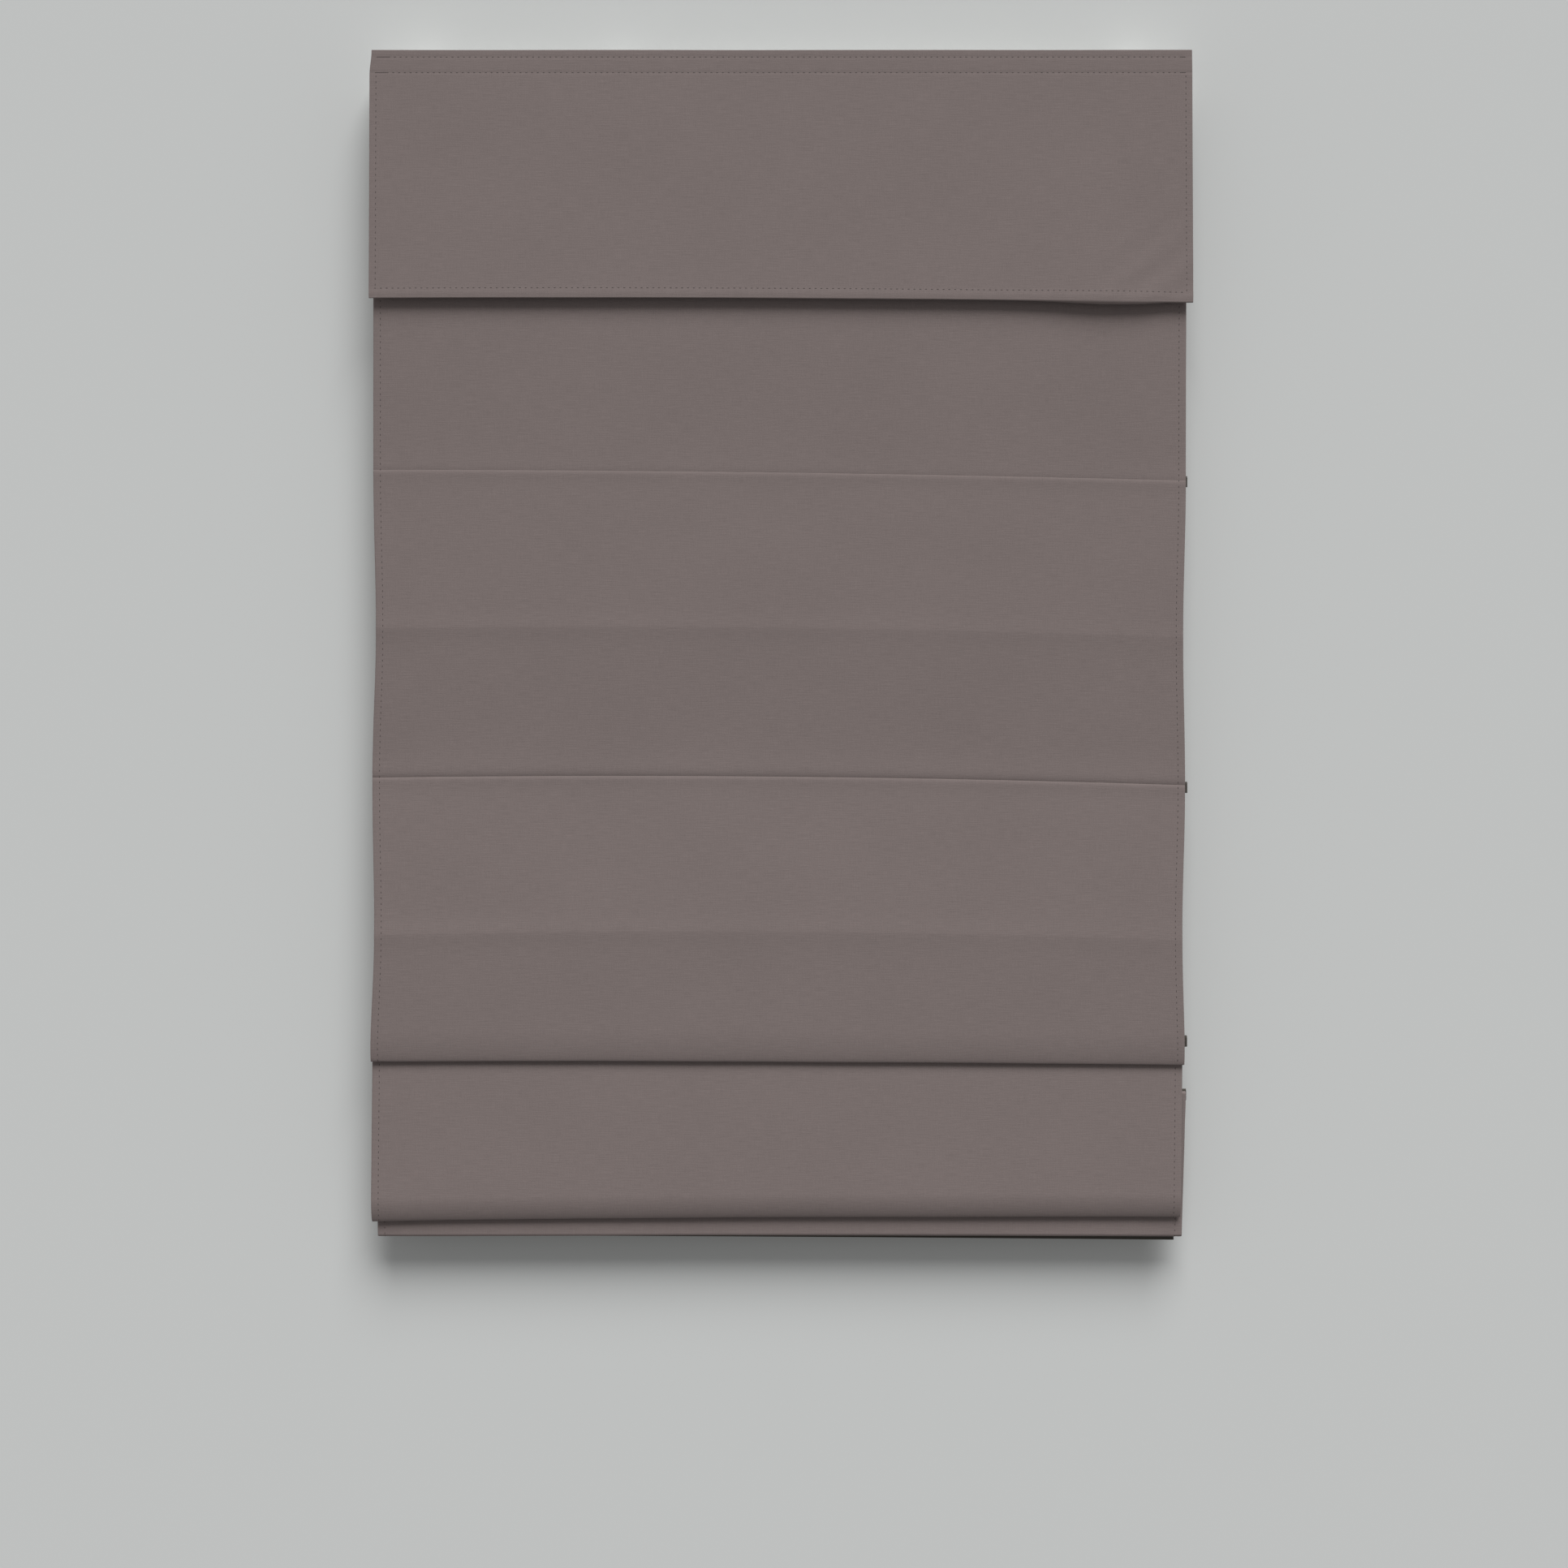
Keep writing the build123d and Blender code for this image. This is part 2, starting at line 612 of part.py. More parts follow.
for name, side in (("left", -1), ("right", 1)):
    with BuildPart() as bar_tip:
        tip_start = side * (BAR_REACH - TIP_LENGTH)
        tip_way = bar_middle(side * BAR_REACH) - bar_middle(tip_start)
        cup = bar_section(tip_start, TIP_PLAY + TIP_WALL)
        extrude(cup, amount=tip_way.length + TIP_PLAY + TIP_WALL, dir=tip_way)
        hollow = bar_section(tip_start, TIP_PLAY)
        extrude(hollow, amount=tip_way.length + TIP_PLAY, dir=tip_way, mode=Mode.SUBTRACT)
    bar_tip.part.label = f"bar_tip_{name}"
    export_step(bar_tip.part, f"parts/bar_tip_{name}.step")

# Drums turn about their own X axis


def turned_drum(middle, barrel, flange, journal, barrel_length, wall, overall):
    """Add a drum with two flanges and a journal at each end."""
    half = barrel_length / 2
    outline = [
        (0, 0),
        (0, barrel / 2),
        (half, barrel / 2),
        (half, flange / 2),
        (half + wall, flange / 2),
        (half + wall, journal / 2),
        (overall / 2, journal / 2),
        (overall / 2, 0),
    ]
    with BuildSketch(Plane(origin=middle, x_dir=(1, 0, 0), z_dir=(0, -1, 0))) as profile:
        with BuildLine():
            Polyline(*outline, close=True)
        make_face()
        mirror(about=Plane.YZ)
    revolve(profile.sketch, axis=Axis(middle, (1, 0, 0)))


def shaft_bore(x, length):
    """Cut the square hole for the lift shaft through a drum."""
    with BuildSketch(Plane.YZ.offset(x - length / 2)) as hole:
        with Locations((SHAFT_Y, SHAFT_Z)):
            Rectangle(SHAFT_BORE, SHAFT_BORE)
    extrude(hole.sketch, amount=length, mode=Mode.SUBTRACT)


def bearing_slot(x, wall, y, z, journal, top):
    """Cut a round-bottomed slot, open at the top, into a bearing wall."""
    radius = journal / 2 + RUNNING_PLAY
    with BuildSketch(Plane.YZ.offset(x)) as slot:
        with Locations((y, z)):
            Circle(radius)
            Rectangle(2 * radius, top - z, align=(Align.CENTER, Align.MIN))
    extrude(slot.sketch, amount=wall, mode=Mode.SUBTRACT)


# Lift shaft: one square shaft through the three spools and the motor

with BuildPart() as lift_shaft:
    shaft_half = CORD_X + CRADLE_HALF + SHAFT_OVERHANG
    with BuildSketch(Plane.YZ.offset(-shaft_half)):
        with Locations((SHAFT_Y, SHAFT_Z)):
            Rectangle(SHAFT, SHAFT)
    extrude(amount=2 * shaft_half)
    chamfer(lift_shaft.faces().filter_by(Axis.X).edges(), SHAFT_CHAMFER)
lift_shaft.part.label = "lift_shaft"
export_step(lift_shaft.part, "parts/lift_shaft.step")

for name, x in COLUMNS.items():
    # Spool with its two journals
    with BuildPart() as cord_spool:
        spool_sizes = (SPOOL_BARREL, SPOOL_FLANGE, SPOOL_JOURNAL, SPOOL_LENGTH, SPOOL_WALL)
        turned_drum((x, SHAFT_Y, SHAFT_Z), *spool_sizes, 2 * CRADLE_HALF)
        shaft_bore(x, 2 * CRADLE_HALF)
    cord_spool.part.label = f"cord_spool_{name}"
    export_step(cord_spool.part, f"parts/cord_spool_{name}.step")

    # Cradle: a floor, two bearing walls and the cord's exit tube through the rail
    with BuildPart() as lift_cradle:
        cradle_top = SHAFT_Z + CRADLE_ABOVE
        with BuildSketch(Plane.XY.offset(RAIL_FLOOR)):
            with Locations((x, SHAFT_Y)):
                RectangleRounded(2 * CRADLE_HALF, CRADLE_WIDTH, CRADLE_CORNER)
        extrude(amount=CRADLE_FLOOR)
        for wall_x in (x - CRADLE_HALF, x + CRADLE_INNER):
            wall_width = CRADLE_WIDTH - 2 * CRADLE_CORNER
            with BuildSketch(Plane.YZ.offset(wall_x)):
                with Locations((SHAFT_Y, RAIL_FLOOR)):
                    wall_size = (wall_width, cradle_top - RAIL_FLOOR)
                    Rectangle(*wall_size, align=(Align.CENTER, Align.MIN))
            extrude(amount=CRADLE_WALL)
            bearing_slot(wall_x, CRADLE_WALL, SHAFT_Y, SHAFT_Z, SPOOL_JOURNAL, cradle_top)
        exit_height = EXIT_LENGTH + RAIL_WALL + CRADLE_FLOOR
        with BuildSketch(Plane.XY.offset(RAIL_BOTTOM - EXIT_LENGTH)):
            with Locations((x, CORD_Y)):
                Circle(EXIT_TUBE / 2)
        extrude(amount=exit_height)
        with BuildSketch(Plane.XY.offset(RAIL_BOTTOM - EXIT_LENGTH)):
            with Locations((x, CORD_Y)):
                Circle(EXIT_BORE / 2)
        extrude(amount=exit_height, mode=Mode.SUBTRACT)
    lift_cradle.part.label = f"lift_cradle_{name}"
    export_step(lift_cradle.part, f"parts/lift_cradle_{name}.step")

    # Lift cord: its turns on the spool, then down through the rings to the lowest one
    with BuildPart() as lift_cord:
        fourth_y = FOURTH_PLANE + CORD_BEHIND
        ring_rim = (RING_OUTER + RING_INNER) / 4
        cord_end = batten_height(4, x) + RING_HEIGHT / 2 + CORD_SEAT
        route = [
            (x, CORD_Y, SHAFT_Z),
            (x, CORD_Y, batten_height(2, x)),
            (x, THIRD_PLANE + CORD_BEHIND, batten_height(3, x)),
            (x, fourth_y + ring_rim, cord_end),
        ]
        with BuildLine() as cord_path:
            FilletPolyline(*route, radius=[CORD_BEND, CORD_BEND])
        with BuildSketch(Plane(origin=route[0], z_dir=(0, 0, -1))):
            Circle(CORD / 2)
        sweep(path=cord_path.wire())
        with BuildSketch(Plane.YZ.offset(x + CORD / 2 - WOUND_LENGTH)):
            with Locations((SHAFT_Y, SHAFT_Z)):
                Circle(WOUND_INNER + CORD)
                Circle(WOUND_INNER, mode=Mode.SUBTRACT)
        extrude(amount=WOUND_LENGTH)
    lift_cord.part.label = f"lift_cord_{name}"
    export_step(lift_cord.part, f"parts/lift_cord_{name}.step")

# Spring motor: a housing and cover round two drums, and the spring between them

with BuildPart() as motor_housing:
    with BuildSketch(Plane.YZ.offset(MOTOR_X - MOTOR_LENGTH / 2)) as motor_end:
        with Locations((RAIL_MIDDLE[0], RAIL_FLOOR)):
            end_size = (MOTOR_DEPTH, MOTOR_TOP - RAIL_FLOOR)
            Rectangle(*end_size, align=(Align.CENTER, Align.MIN))
        fillet(motor_end.vertices().group_by(Axis.Y)[0], MOTOR_FOOT)
    extrude(amount=MOTOR_LENGTH)
    with BuildSketch(Plane.XY.offset(RAIL_FLOOR + MOTOR_WALL)):
        with Locations((MOTOR_X, RAIL_MIDDLE[0])):
            Rectangle(2 * MOTOR_INNER, MOTOR_DEPTH - 2 * MOTOR_WALL)
    extrude(amount=MOTOR_TOP - RAIL_FLOOR, mode=Mode.SUBTRACT)
    for wall_x in (MOTOR_X - MOTOR_LENGTH / 2, MOTOR_X + MOTOR_INNER):
        bearing_slot(wall_x, MOTOR_WALL, SHAFT_Y, SHAFT_Z, OUTPUT_JOURNAL, MOTOR_TOP)
        bearing_slot(wall_x, MOTOR_WALL, STORAGE_Y, STORAGE_Z, STORAGE_JOURNAL, MOTOR_TOP)
motor_housing.part.label = "motor_housing"
export_step(motor_housing.part, "parts/motor_housing.step")

with BuildPart() as motor_cover:
    with BuildSketch(Plane.XY.offset(MOTOR_TOP)):
        with Locations((MOTOR_X, RAIL_MIDDLE[0])):
            Rectangle(MOTOR_LENGTH, MOTOR_DEPTH)
    extrude(amount=MOTOR_COVER)
    with BuildSketch(Plane.XY.offset(MOTOR_TOP)):
        tongue_length = 2 * (MOTOR_INNER - CAP_PLAY)
        tongue_depth = MOTOR_DEPTH - 2 * (MOTOR_WALL + CAP_PLAY)
        with Locations((MOTOR_X, RAIL_MIDDLE[0])):
            Rectangle(tongue_length, tongue_depth)
            Rectangle(tongue_length, tongue_depth - 2 * MOTOR_WALL, mode=Mode.SUBTRACT)
    extrude(amount=-COVER_TONGUE)
motor_cover.part.label = "motor_cover"
export_step(motor_cover.part, "parts/motor_cover.step")

with BuildPart() as output_drum:
    output_sizes = (OUTPUT_BARREL, SPOOL_FLANGE, OUTPUT_JOURNAL, DRUM_LENGTH, DRUM_WALL)
    turned_drum((MOTOR_X, SHAFT_Y, SHAFT_Z), *output_sizes, MOTOR_LENGTH)
    shaft_bore(MOTOR_X, MOTOR_LENGTH)
output_drum.part.label = "output_drum"
export_step(output_drum.part, "parts/output_drum.step")

with BuildPart() as storage_drum:
    storage_sizes = (STORAGE_BARREL, STORAGE_FLANGE, STORAGE_JOURNAL, DRUM_LENGTH, DRUM_WALL)
    turned_drum((MOTOR_X, STORAGE_Y, STORAGE_Z), *storage_sizes, MOTOR_LENGTH)
storage_drum.part.label = "storage_drum"
export_step(storage_drum.part, "parts/storage_drum.step")

# Spring band: a coil on each drum, and the strip that crosses from one to the other

with BuildPart() as spring_band:
    band_width = DRUM_LENGTH - 2 * END_PLAY
    output_middle, storage_middle = Vector(SHAFT_Y, SHAFT_Z), Vector(STORAGE_Y, STORAGE_Z)
    along = (storage_middle - output_middle).normalized()
    square = Vector(-along.Y, along.X)
    wrapped, stored = SPRING_WRAPPED / 2, SPRING_STORED / 2
    apart = (storage_middle - output_middle).length
    lean = (wrapped + stored - SPRING_SHEET) / apart
    away = along * lean + square * (1 - lean**2) ** 0.5
    strip = [
        output_middle + away * wrapped,
        storage_middle - away * (stored - SPRING_SHEET),
        storage_middle - away * stored,
        output_middle + away * (wrapped - SPRING_SHEET),
    ]
    with BuildSketch(Plane.YZ.offset(MOTOR_X - band_width / 2)):
        with BuildLine():
            Polyline(*strip, close=True)
        make_face()
        with Locations((SHAFT_Y, SHAFT_Z)):
            Circle(wrapped)
            Circle(OUTPUT_BARREL / 2 + SPRING_PLAY, mode=Mode.SUBTRACT)
        with Locations((STORAGE_Y, STORAGE_Z)):
            Circle(stored)
            Circle(STORAGE_BARREL / 2 + SPRING_PLAY, mode=Mode.SUBTRACT)
    extrude(amount=band_width)
spring_band.part.label = "spring_band"
export_step(spring_band.part, "parts/spring_band.step")
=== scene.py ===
import json
from math import atan2, cos, exp, hypot, pi, radians, sin, tan

import bpy
import numpy as np
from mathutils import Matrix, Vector, noise
from mathutils.geometry import tessellate_polygon


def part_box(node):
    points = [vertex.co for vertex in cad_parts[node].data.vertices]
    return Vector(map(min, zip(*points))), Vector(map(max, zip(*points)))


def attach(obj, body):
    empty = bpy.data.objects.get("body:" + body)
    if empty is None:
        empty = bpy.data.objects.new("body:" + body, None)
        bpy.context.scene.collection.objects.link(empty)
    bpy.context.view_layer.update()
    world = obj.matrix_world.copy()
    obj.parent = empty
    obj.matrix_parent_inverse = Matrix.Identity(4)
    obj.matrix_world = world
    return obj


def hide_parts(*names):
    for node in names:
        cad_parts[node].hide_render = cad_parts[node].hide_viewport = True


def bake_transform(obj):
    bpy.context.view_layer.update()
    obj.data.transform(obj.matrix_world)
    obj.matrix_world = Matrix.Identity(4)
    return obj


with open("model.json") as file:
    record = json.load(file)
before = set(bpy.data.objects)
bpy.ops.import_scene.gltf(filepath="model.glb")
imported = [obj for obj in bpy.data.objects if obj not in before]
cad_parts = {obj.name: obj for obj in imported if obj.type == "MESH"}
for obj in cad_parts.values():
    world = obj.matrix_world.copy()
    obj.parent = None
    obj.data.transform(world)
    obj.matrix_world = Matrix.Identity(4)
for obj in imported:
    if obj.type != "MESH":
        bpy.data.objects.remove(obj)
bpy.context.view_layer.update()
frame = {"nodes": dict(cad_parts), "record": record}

# Roman blind with a flat valance, fixed to a wall and hanging three quarters down.
#
# Metres. The wall is the plane y = 0, the room is on the -Y side, and +Z is up.
# Heights are given as drops below the valance's top edge.

NODES = frame["nodes"]
SIDES = ("left", "centre", "right")
BATTENS = (1, 2, 3, 4)

# Cloth layers, as distances behind the face cloth's front
FACE_BACK = 0.0007
HEM_BACK = 0.0015
LINING_FRONT = 0.0016
LINING_BACK = 0.0020
SIDE_HEM = 0.020
LINING_INSET = 0.008
LAYER_PLAY = 0.0001
ROD_BEHIND = 0.0055

# The face cloth's shape between its creases
RIDGE_PROUD = (0.004, 0.009)
LOOP_PROUD = 0.006
CREASE_GAP = 0.0032
CREASE_RADIUS = 0.0015
FOLD_RADIUS = 0.0024
TOP_BEND_RADIUS = 0.060
VALLEY_RADIUS = 0.0025
RIDGE_RADIUS = 0.012
BELLY_HEIGHT = (0.034, 0.026)
BELLY_EASE = 0.52
BELLY_TUCK = 0.0022
HEM_HEIGHT = 0.030
HEM_DEPTH = 0.0064
HEM_RADIUS = 0.0031
LINING_STEP = 0.012
LINING_STEP_ABOVE = 0.002
LINING_OVERHANG = 0.0019
LINING_TILT = 0.005
TAPE_BOTTOM = 0.0275

# Valance
VALANCE_FLARE = 0.005
VALANCE_TOP_HEM = 0.027
VALANCE_HEM = 0.011
VALANCE_ROWS = (0.007, 0.024)
VALANCE_HEM_ROW = 0.0105
VALANCE_SIDE_ROW = 0.0075
VALANCE_TURN = 0.00072

# How many rows the straight stretches and the arcs between them take, in turn
PANEL_SPANS = (8, 4, 56, 2, 40, 2, 40, 2, 40, 2, 24)
HEM_SPANS = (2, 6, 30, 8, 2, 8, 10)
LINING_HEM_SPANS = (2, 6, 30, 4, 6, 4, 14)
VALANCE_SPANS = (10, 6, 1, 6, 24, 4, 70, 6, 1, 6, 8)
CORD_SPANS = (60, 6, 30, 6, 16)
FRONT_LEG_ROWS = 40
BELLY_ROWS = 22
FOLD_ARC_ROWS = 6
REAR_LEG_ROWS = {3: 8, 4: 30}

# Columns of the cloth, as distances in from its edge and beside its hem
EDGE_COLUMNS = (0.003, 0.006, 0.010, 0.015)
HEM_COLUMNS = (0.0, 0.0004, 0.006)

# Unevenness of the cloth: height, waves per metre across and along, seed
PANEL_BROAD = (0.0007, 3.1, 5.3, 2.7)
PANEL_FINE = (0.00022, 9.0, 17.0, 6.1)
PANEL_PUCKER = (0.0009, 4.0, 13.0, 11.3)
PUCKER_REACH = 0.045
VALANCE_BROAD = (0.0010, 3.3, 4.1, 21.9)
VALANCE_FINE = (0.0003, 8.0, 13.0, 25.3)
WRINKLE_DRIFT = (0.012, 11.0, 14.0, 31.7)

# Swells above and below the creases, on the ridges and at the valance's seams: height, width
ABOVE_CREASE = {"batten_1": (0.00025, 0.0050), "batten_2": (0.00100, 0.0070)}
BELOW_CREASE = {"batten_1": (0.00060, 0.0035), "batten_2": (0.00070, 0.0035)}
RIDGE_SWELL = {"ridge_1": (0.0006, 0.011), "ridge_2": (0.0008, 0.012)}
RIDGE_FADE = 0.5
HEM_SWELL = (0.00035, 0.004)
HEM_SWELL_BELOW = 0.005
ROW_DIMPLE = (0.00022, 0.0016)

# The valance's loose lower right: a belly, and drag wrinkles that run to the corner
SLACK_DROP = 0.27
SLACK_HEIGHT, SLACK_X, SLACK_WIDTH = 0.0030, 0.36, 0.055
CORNER_X, CORNER_DROP, CORNER_REACH = 0.41, 0.235, 0.05
WRINKLE_HEIGHT, WRINKLE_SPACING, WRINKLE_SLANT = 0.0005, 0.041, 0.8

# Stitches
STITCH_PITCH = 0.0063
STITCH_LENGTH = 0.0024
STITCH_WIDTH = 0.0008
STITCH_FLATNESS = 0.7
PANEL_SIDE_ROW = 0.0078
HEM_ROW_ABOVE = 0.0275
TACK_LENGTH = 0.018
TACK_CLOSENESS = 3

# Batten pockets
POCKET_RADIUS = 0.0034
POCKET_BORE = 0.0027
POCKET_SEAM = 0.0055
POCKET_OVERLAP = 0.002
POCKET_SLACK = 0.00022
POCKET_STITCH = (0.0034, 0.0006)
POCKET_STITCH_DROP = 0.0066
SEAM_ROUND = 0.0003
SEAM_FRONT, SEAM_REAR, SEAM_ROOT = 0.0045, 0.0052, 0.0040
SEAM_ANGLE = -112

# Rings, their lashings and their cords
RING_RIM = 0.00425
RING_WIDE = 0.00075
RING_TALL = 0.0010
LASHING_TURNS = ((-0.0009, 0.00006), (-0.0003, -0.00005), (0.0003, 0.00004), (0.0009, -0.00006))
LASHING_FORWARD = 0.00475
LASHING_DEPTH = 0.0017
LASHING_RISE = 0.00132
CORD = 0.0007
CORD_BEND = 0.04
CORD_TURNS = 10
TURN_STEPS = 26
WOUND_RADIUS = 0.00735
WOUND_SQUEEZE = 0.98
THREAD = 0.00022

# The knot on each lowest ring: two loops round the rim, a barrel above it and a loose tail
LOOP_APART = 0.0006
LOOP_CROSSING = 0.0005
LOOP_DEPTH = 0.0016
LOOP_RISE = 0.0019
BARREL_RADIUS = 0.00125
BARREL_FOOT = 0.0030
BARREL_RISE = 0.0044
BARREL_TURNS = 3
BARREL_STEPS = 16
BARREL_SQUEEZE = 0.9
KNOT_TAIL = ((0.0022, 0.0006, 0.0002), (0.0040, 0.0012, -0.0022), (0.0046, 0.0014, -0.0058))

# Camera
CAMERA_PLACE = (0.004, -3.100, -0.7726)
CAMERA_LENS = 64.3
CAMERA_REACH = 40.0
SENSOR = 36.0

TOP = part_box("valance")[1].z
HALF_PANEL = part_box("face_panel")[1].x
HALF_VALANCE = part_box("valance")[1].x
PANEL_TOP_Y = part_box("panel_hook_tape")[1].y
PANEL_TOP_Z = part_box("face_panel")[1].z
VALANCE_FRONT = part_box("valance_loop_tape")[0].y - HEM_BACK
SHAFT_LOW, SHAFT_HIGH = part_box("lift_shaft")
SHAFT_Y = (SHAFT_LOW.y + SHAFT_HIGH.y) / 2
SHAFT_Z = (SHAFT_LOW.z + SHAFT_HIGH.z) / 2


def rod_ends(number):
    """The middles of a batten's two ends."""
    points = [v.co for v in NODES[f"batten_rod_{number}"].data.vertices]
    left = [p for p in points if p.x < 0]
    right = [p for p in points if p.x > 0]
    return sum(left, Vector()) / len(left), sum(right, Vector()) / len(right)


ROD_ENDS = {number: rod_ends(number) for number in BATTENS}
PLANES = {number: ROD_ENDS[number][0].y - ROD_BEHIND for number in BATTENS}


def rod_height(number, x):
    """The height of a batten at a place across the width."""
    left, right = ROD_ENDS[number]
    return left.z + (right.z - left.z) * (x - left.x) / (right.x - left.x)


def crease(middle, tilt, bow):
    """A line across the cloth: tilt is how much lower its right end is, bow how much lower both ends are."""

    def height(x):
        t = x / HALF_PANEL
        return TOP - middle - tilt / 2 * t - bow * t * t

    return height


FIRST_CREASE = crease(0.4579, 0.0118, 0.0029)
FIRST_RIDGE = crease(0.6268, 0.0100, 0.0056)
SECOND_CREASE = crease(0.7886, 0.0082, 0.0052)
SECOND_RIDGE = crease(0.9568, 0.0055, 0.0065)
SECOND_FOLD = crease(1.0985, 0.0036, 0.0016)
THIRD_FOLD = crease(1.2685, -0.0045, 0.0021)
HEM_BOTTOM = crease(1.2897, 0.0, 0.0009)
VALANCE_BOTTOM = crease(0.2702, 0.0046, 0.0022)

# Half widths of the panel, left and right, at each line where one piece of cloth meets the next
PANEL_EDGES = {
    "top": (0.4420, 0.4420),
    "batten_1": (0.4428, 0.4411),
    "ridge_1": (0.4395, 0.4378),
    "batten_2": (0.4437, 0.4402),
    "ridge_2": (0.4406, 0.4362),
    "fold_2": (0.4450, 0.4389),
    "batten_3": (0.4440, 0.4375),
    "fold_3": (0.4447, 0.4355),
    "batten_4": (0.4425, 0.4418),
    "end": (0.4389, 0.4377),
}

# Name, the lines it runs between, and the body it rides on or the two bodies it lies between
SECTIONS = (
    ("head", "top", "batten_1", ("root", "batten_1")),
    ("one_upper", "batten_1", "ridge_1", ("batten_1",)),
    ("one_lower", "ridge_1", "batten_2", ("batten_1", "batten_2")),
    ("two_upper", "batten_2", "ridge_2", ("batten_2",)),
    ("two_belly", "ridge_2", "fold_2", ("batten_2", "batten_3")),
    ("two_rear", "fold_2", "batten_3", ("batten_3",)),
    ("three_front", "batten_3", "fold_3", ("batten_3",)),
    ("three_rear", "fold_3", "batten_4", ("batten_3", "batten_4")),
    ("hem", "batten_4", "end", ("batten_4",)),
)
HEAD_HOLD_DROP = 0.251


# Runs. A run is a path in the (y, z) plane: rows of (y, z, heading), where the
# cloth's back lies to the left of the heading.


def eased(spans):
    """Shares from 0 to 1, closer together at both ends."""
    return [(1 - cos(pi * k / spans)) / 2 for k in range(1, spans + 1)]


def line_rows(start, end, spans):
    """Rows along a straight stretch, without its first point."""
    heading = atan2(end[1] - start[1], end[0] - start[0])
    way = (end[0] - start[0], end[1] - start[1])
    return [(start[0] + way[0] * f, start[1] + way[1] * f, heading) for f in eased(spans)]


def arc_rows(start, heading, turn, radius, spans):
    """Rows along an arc, without its first point."""
    side = 1 if turn > 0 else -1
    centre = (start[0] - side * radius * sin(heading), start[1] + side * radius * cos(heading))
    rows = []
    for k in range(1, spans + 1):
        now = heading + turn * k / spans
        rows.append((centre[0] + side * radius * sin(now), centre[1] - side * radius * cos(now), now))
    return rows


def rounded_rows(corners, radii, spans):
    """Rows along straight stretches joined by arcs, and the row at the middle of each arc."""
    headings = [atan2(b[1] - a[1], b[0] - a[0]) for a, b in zip(corners, corners[1:])]
    rows, middles = [(*corners[0], headings[0])], []
    for i, heading in enumerate(headings):
        end = corners[i + 1]
        if i < len(radii):
            turn = (headings[i + 1] - heading + pi) % (2 * pi) - pi
            tangent = radii[i] * tan(abs(turn) / 2)
            end = (end[0] - tangent * cos(heading), end[1] - tangent * sin(heading))
        rows += line_rows(rows[-1][:2], end, spans[2 * i])
        if i < len(radii):
            arc_spans = spans[2 * i + 1]
            middles.append(len(rows) - 1 + arc_spans // 2)
            rows += arc_rows(end, heading, turn, radii[i], arc_spans)
    return rows, middles


def belly_rows(start, heading, bottom, height, spans):
    """Rows down a fold's belly, which turns ever more sharply towards the fold's lowest point."""
    first = np.array(start)
    second = first + BELLY_EASE * height * np.array((cos(heading), sin(heading)))
    fourth = np.array(bottom)
    third = fourth - np.array((BELLY_TUCK, 0.0))
    rows = []
    for k in range(1, spans + 1):
        f = k / spans
        a, b = 1 - f, f
        here = a**3 * first + 3 * a * a * b * second + 3 * a * b * b * third + b**3 * fourth
        way = a * a * (second - first) + 2 * a * b * (third - second) + b * b * (fourth - third)
        rows.append((here[0], here[1], atan2(way[1], way[0])))
    return rows


def hem_rows(x, crease_y, height):
    """The face cloth from the last crease round the bottom hem."""
    plane, bottom = PLANES[4], HEM_BOTTOM(x)
    corners = [
        (crease_y, height),
        (plane, height),
        (plane, bottom),
        (plane + HEM_DEPTH, bottom),
        (plane + HEM_DEPTH, bottom + HEM_HEIGHT),
    ]
    return corners, [CREASE_RADIUS, HEM_RADIUS, HEM_RADIUS], HEM_SPANS


def lining_hem_rows(x, crease_y, height):
    """The lining from the last crease, stepping out behind the bottom hem."""
    plane, bottom = PLANES[4], HEM_BOTTOM(x)
    behind = plane + HEM_DEPTH + LINING_BACK - LINING_FRONT + LAYER_PLAY - LINING_FRONT
    step = bottom + HEM_HEIGHT + LINING_STEP_ABOVE
    corners = [
        (crease_y, height),
        (plane, height),
        (plane, step + LINING_STEP),
        (behind, step),
        (behind, bottom - LINING_OVERHANG - LINING_TILT * x / (2 * HALF_PANEL)),
    ]
    return corners, [CREASE_RADIUS, HEM_RADIUS, HEM_RADIUS], LINING_HEM_SPANS


